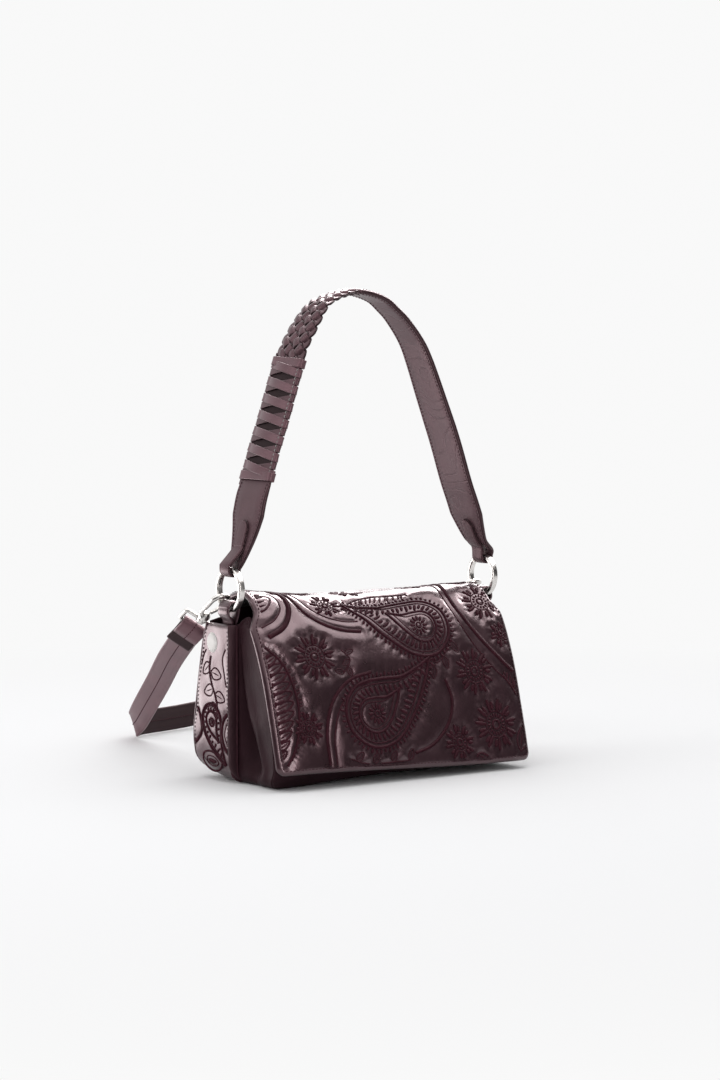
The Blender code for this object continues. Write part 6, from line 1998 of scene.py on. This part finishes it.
STAGE_CARDS = (
    ("front_flag", (1.04, -1.10, 0.54), (0.0, 0.0, 0.08), (1.5, 0.64), 0.0),
    ("left_flag", (-0.47, -0.15, 0.18), (-0.162, -0.15, 0.436), (0.5, 0.234), 0.0),
    ("crest_card", (1.0, 0.66, 1.42), (0.0, 0.0, 0.12), (1.0, 0.66), 14.0),
    ("brow_card", (0.98, -0.28, 1.60), (0.0, 0.0, 0.12), (0.80, 0.45), 3.6),
    ("gusset_card", (-0.27, 0.25, 0.045), (-0.117, 0.03, 0.045), (0.17, 0.085), 4.8),
    ("strip_card", (-0.04, -1.28, 0.45), (0.0, 0.0, 0.06), (0.13, 0.44), 8.0),
)


def add_world(scene):
    """A dim sky that lights the bag, and the plain backdrop wherever it is seen or mirrored."""
    world = bpy.data.worlds.new("studio")
    scene.world = world
    world.use_nodes = True
    nodes, links = world.node_tree.nodes, world.node_tree.links
    nodes.clear()
    paths = nodes.new("ShaderNodeLightPath")
    first, second = nodes.new("ShaderNodeMath"), nodes.new("ShaderNodeMath")
    first.operation = second.operation = "MAXIMUM"
    links.new(paths.outputs["Is Camera Ray"], first.inputs[0])
    links.new(paths.outputs["Is Glossy Ray"], first.inputs[1])
    links.new(first.outputs[0], second.inputs[0])
    links.new(paths.outputs["Is Transmission Ray"], second.inputs[1])
    soft, plain = nodes.new("ShaderNodeBackground"), nodes.new("ShaderNodeBackground")
    soft.inputs["Color"].default_value = SKY
    plain.inputs["Color"].default_value = BACKDROP
    mix = nodes.new("ShaderNodeMixShader")
    links.new(second.outputs[0], mix.inputs[0])
    links.new(soft.outputs[0], mix.inputs[1])
    links.new(plain.outputs[0], mix.inputs[2])
    links.new(mix.outputs[0], nodes.new("ShaderNodeOutputWorld").inputs["Surface"])


def add_camera(scene, turn, lift):
    """The camera, turned to the bag's left and lifted by the angles in the panel."""
    camera = bpy.data.cameras.new("camera")
    camera.sensor_fit = "HORIZONTAL"
    camera.sensor_width = 36.0
    camera.lens = CAMERA_LENS
    camera.clip_start, camera.clip_end = 0.05, 60.0
    made = bpy.data.objects.new("camera", camera)
    scene.collection.objects.link(made)
    back = Vector((-math.sin(turn) * math.cos(lift), -math.cos(turn) * math.cos(lift), math.sin(lift)))
    made.location = Vector(CAMERA_TARGET) + back * CAMERA_DISTANCE
    made.rotation_mode = "QUATERNION"
    made.rotation_quaternion = (-back).to_track_quat("-Z", "Y")
    scene.camera = made


class BAG_OT_stage(bpy.types.Operator):
    """Floor, background, softboxes and the camera at the photograph's angle"""
    bl_idname = "bag.stage"
    bl_label = "Stage and camera"

    def execute(self, context):
        scene = context.scene
        settings = scene.bag_stage
        reach = FLOOR_REACH
        floor = [(-reach, -reach, 0.0), (reach, -reach, 0.0), (reach, reach, 0.0), (-reach, reach, 0.0)]
        stage_mesh("floor", floor, [(0, 1, 2, 3)], floor_finish(settings.floor))
        add_world(scene)
        add_softbox("top_softbox", (0.2, 0.15, 1.9), (0.0, 0.0, 0.1), (2.2, 2.0), settings.top)
        add_softbox("side_softbox", (-1.7, 0.45, 1.0), (-0.1, 0.0, 0.2), (1.0, 0.9), settings.side)
        for card in STAGE_CARDS:
            add_card(*card)
        add_camera(scene, settings.azimuth, settings.height)
        scene.view_settings.view_transform = "Standard"
        return {"FINISHED"}


OPERATORS = (
    BAG_OT_metal, BAG_OT_body, BAG_OT_lining, BAG_OT_flap, BAG_OT_fittings, BAG_OT_handle, BAG_OT_strap,
    BAG_OT_stage,
)


class BAG_PT_sidebar(bpy.types.Panel):
    """Colours, stage settings and the steps that build the bag"""
    bl_idname = "BAG_PT_sidebar"
    bl_label = "Embroidered Shoulder Bag"
    bl_space_type = "VIEW_3D"
    bl_region_type = "UI"
    bl_category = "Bag"

    def draw(self, context):
        for group in (context.scene.bag_colours, context.scene.bag_stage):
            box = self.layout.box()
            for key in group.__annotations__:
                box.prop(group, key)
        for operator in OPERATORS:
            self.layout.operator(operator.bl_idname)


CLASSES = (BagColours, BagStageSettings, *OPERATORS, BAG_PT_sidebar)


def register():
    for made in CLASSES:
        bpy.utils.register_class(made)
    bpy.types.Scene.bag_colours = bpy.props.PointerProperty(type=BagColours)
    bpy.types.Scene.bag_stage = bpy.props.PointerProperty(type=BagStageSettings)


def unregister():
    del bpy.types.Scene.bag_stage
    del bpy.types.Scene.bag_colours
    for made in reversed(CLASSES):
        bpy.utils.unregister_class(made)


def main():
    register()
    bpy.ops.bag.metal()
    bpy.ops.bag.body()
    bpy.ops.bag.lining()
    bpy.ops.bag.flap()
    bpy.ops.bag.fittings()
    bpy.ops.bag.handle()
    bpy.ops.bag.strap()
    bpy.ops.bag.stage()


if __name__ == "__main__":
    main()
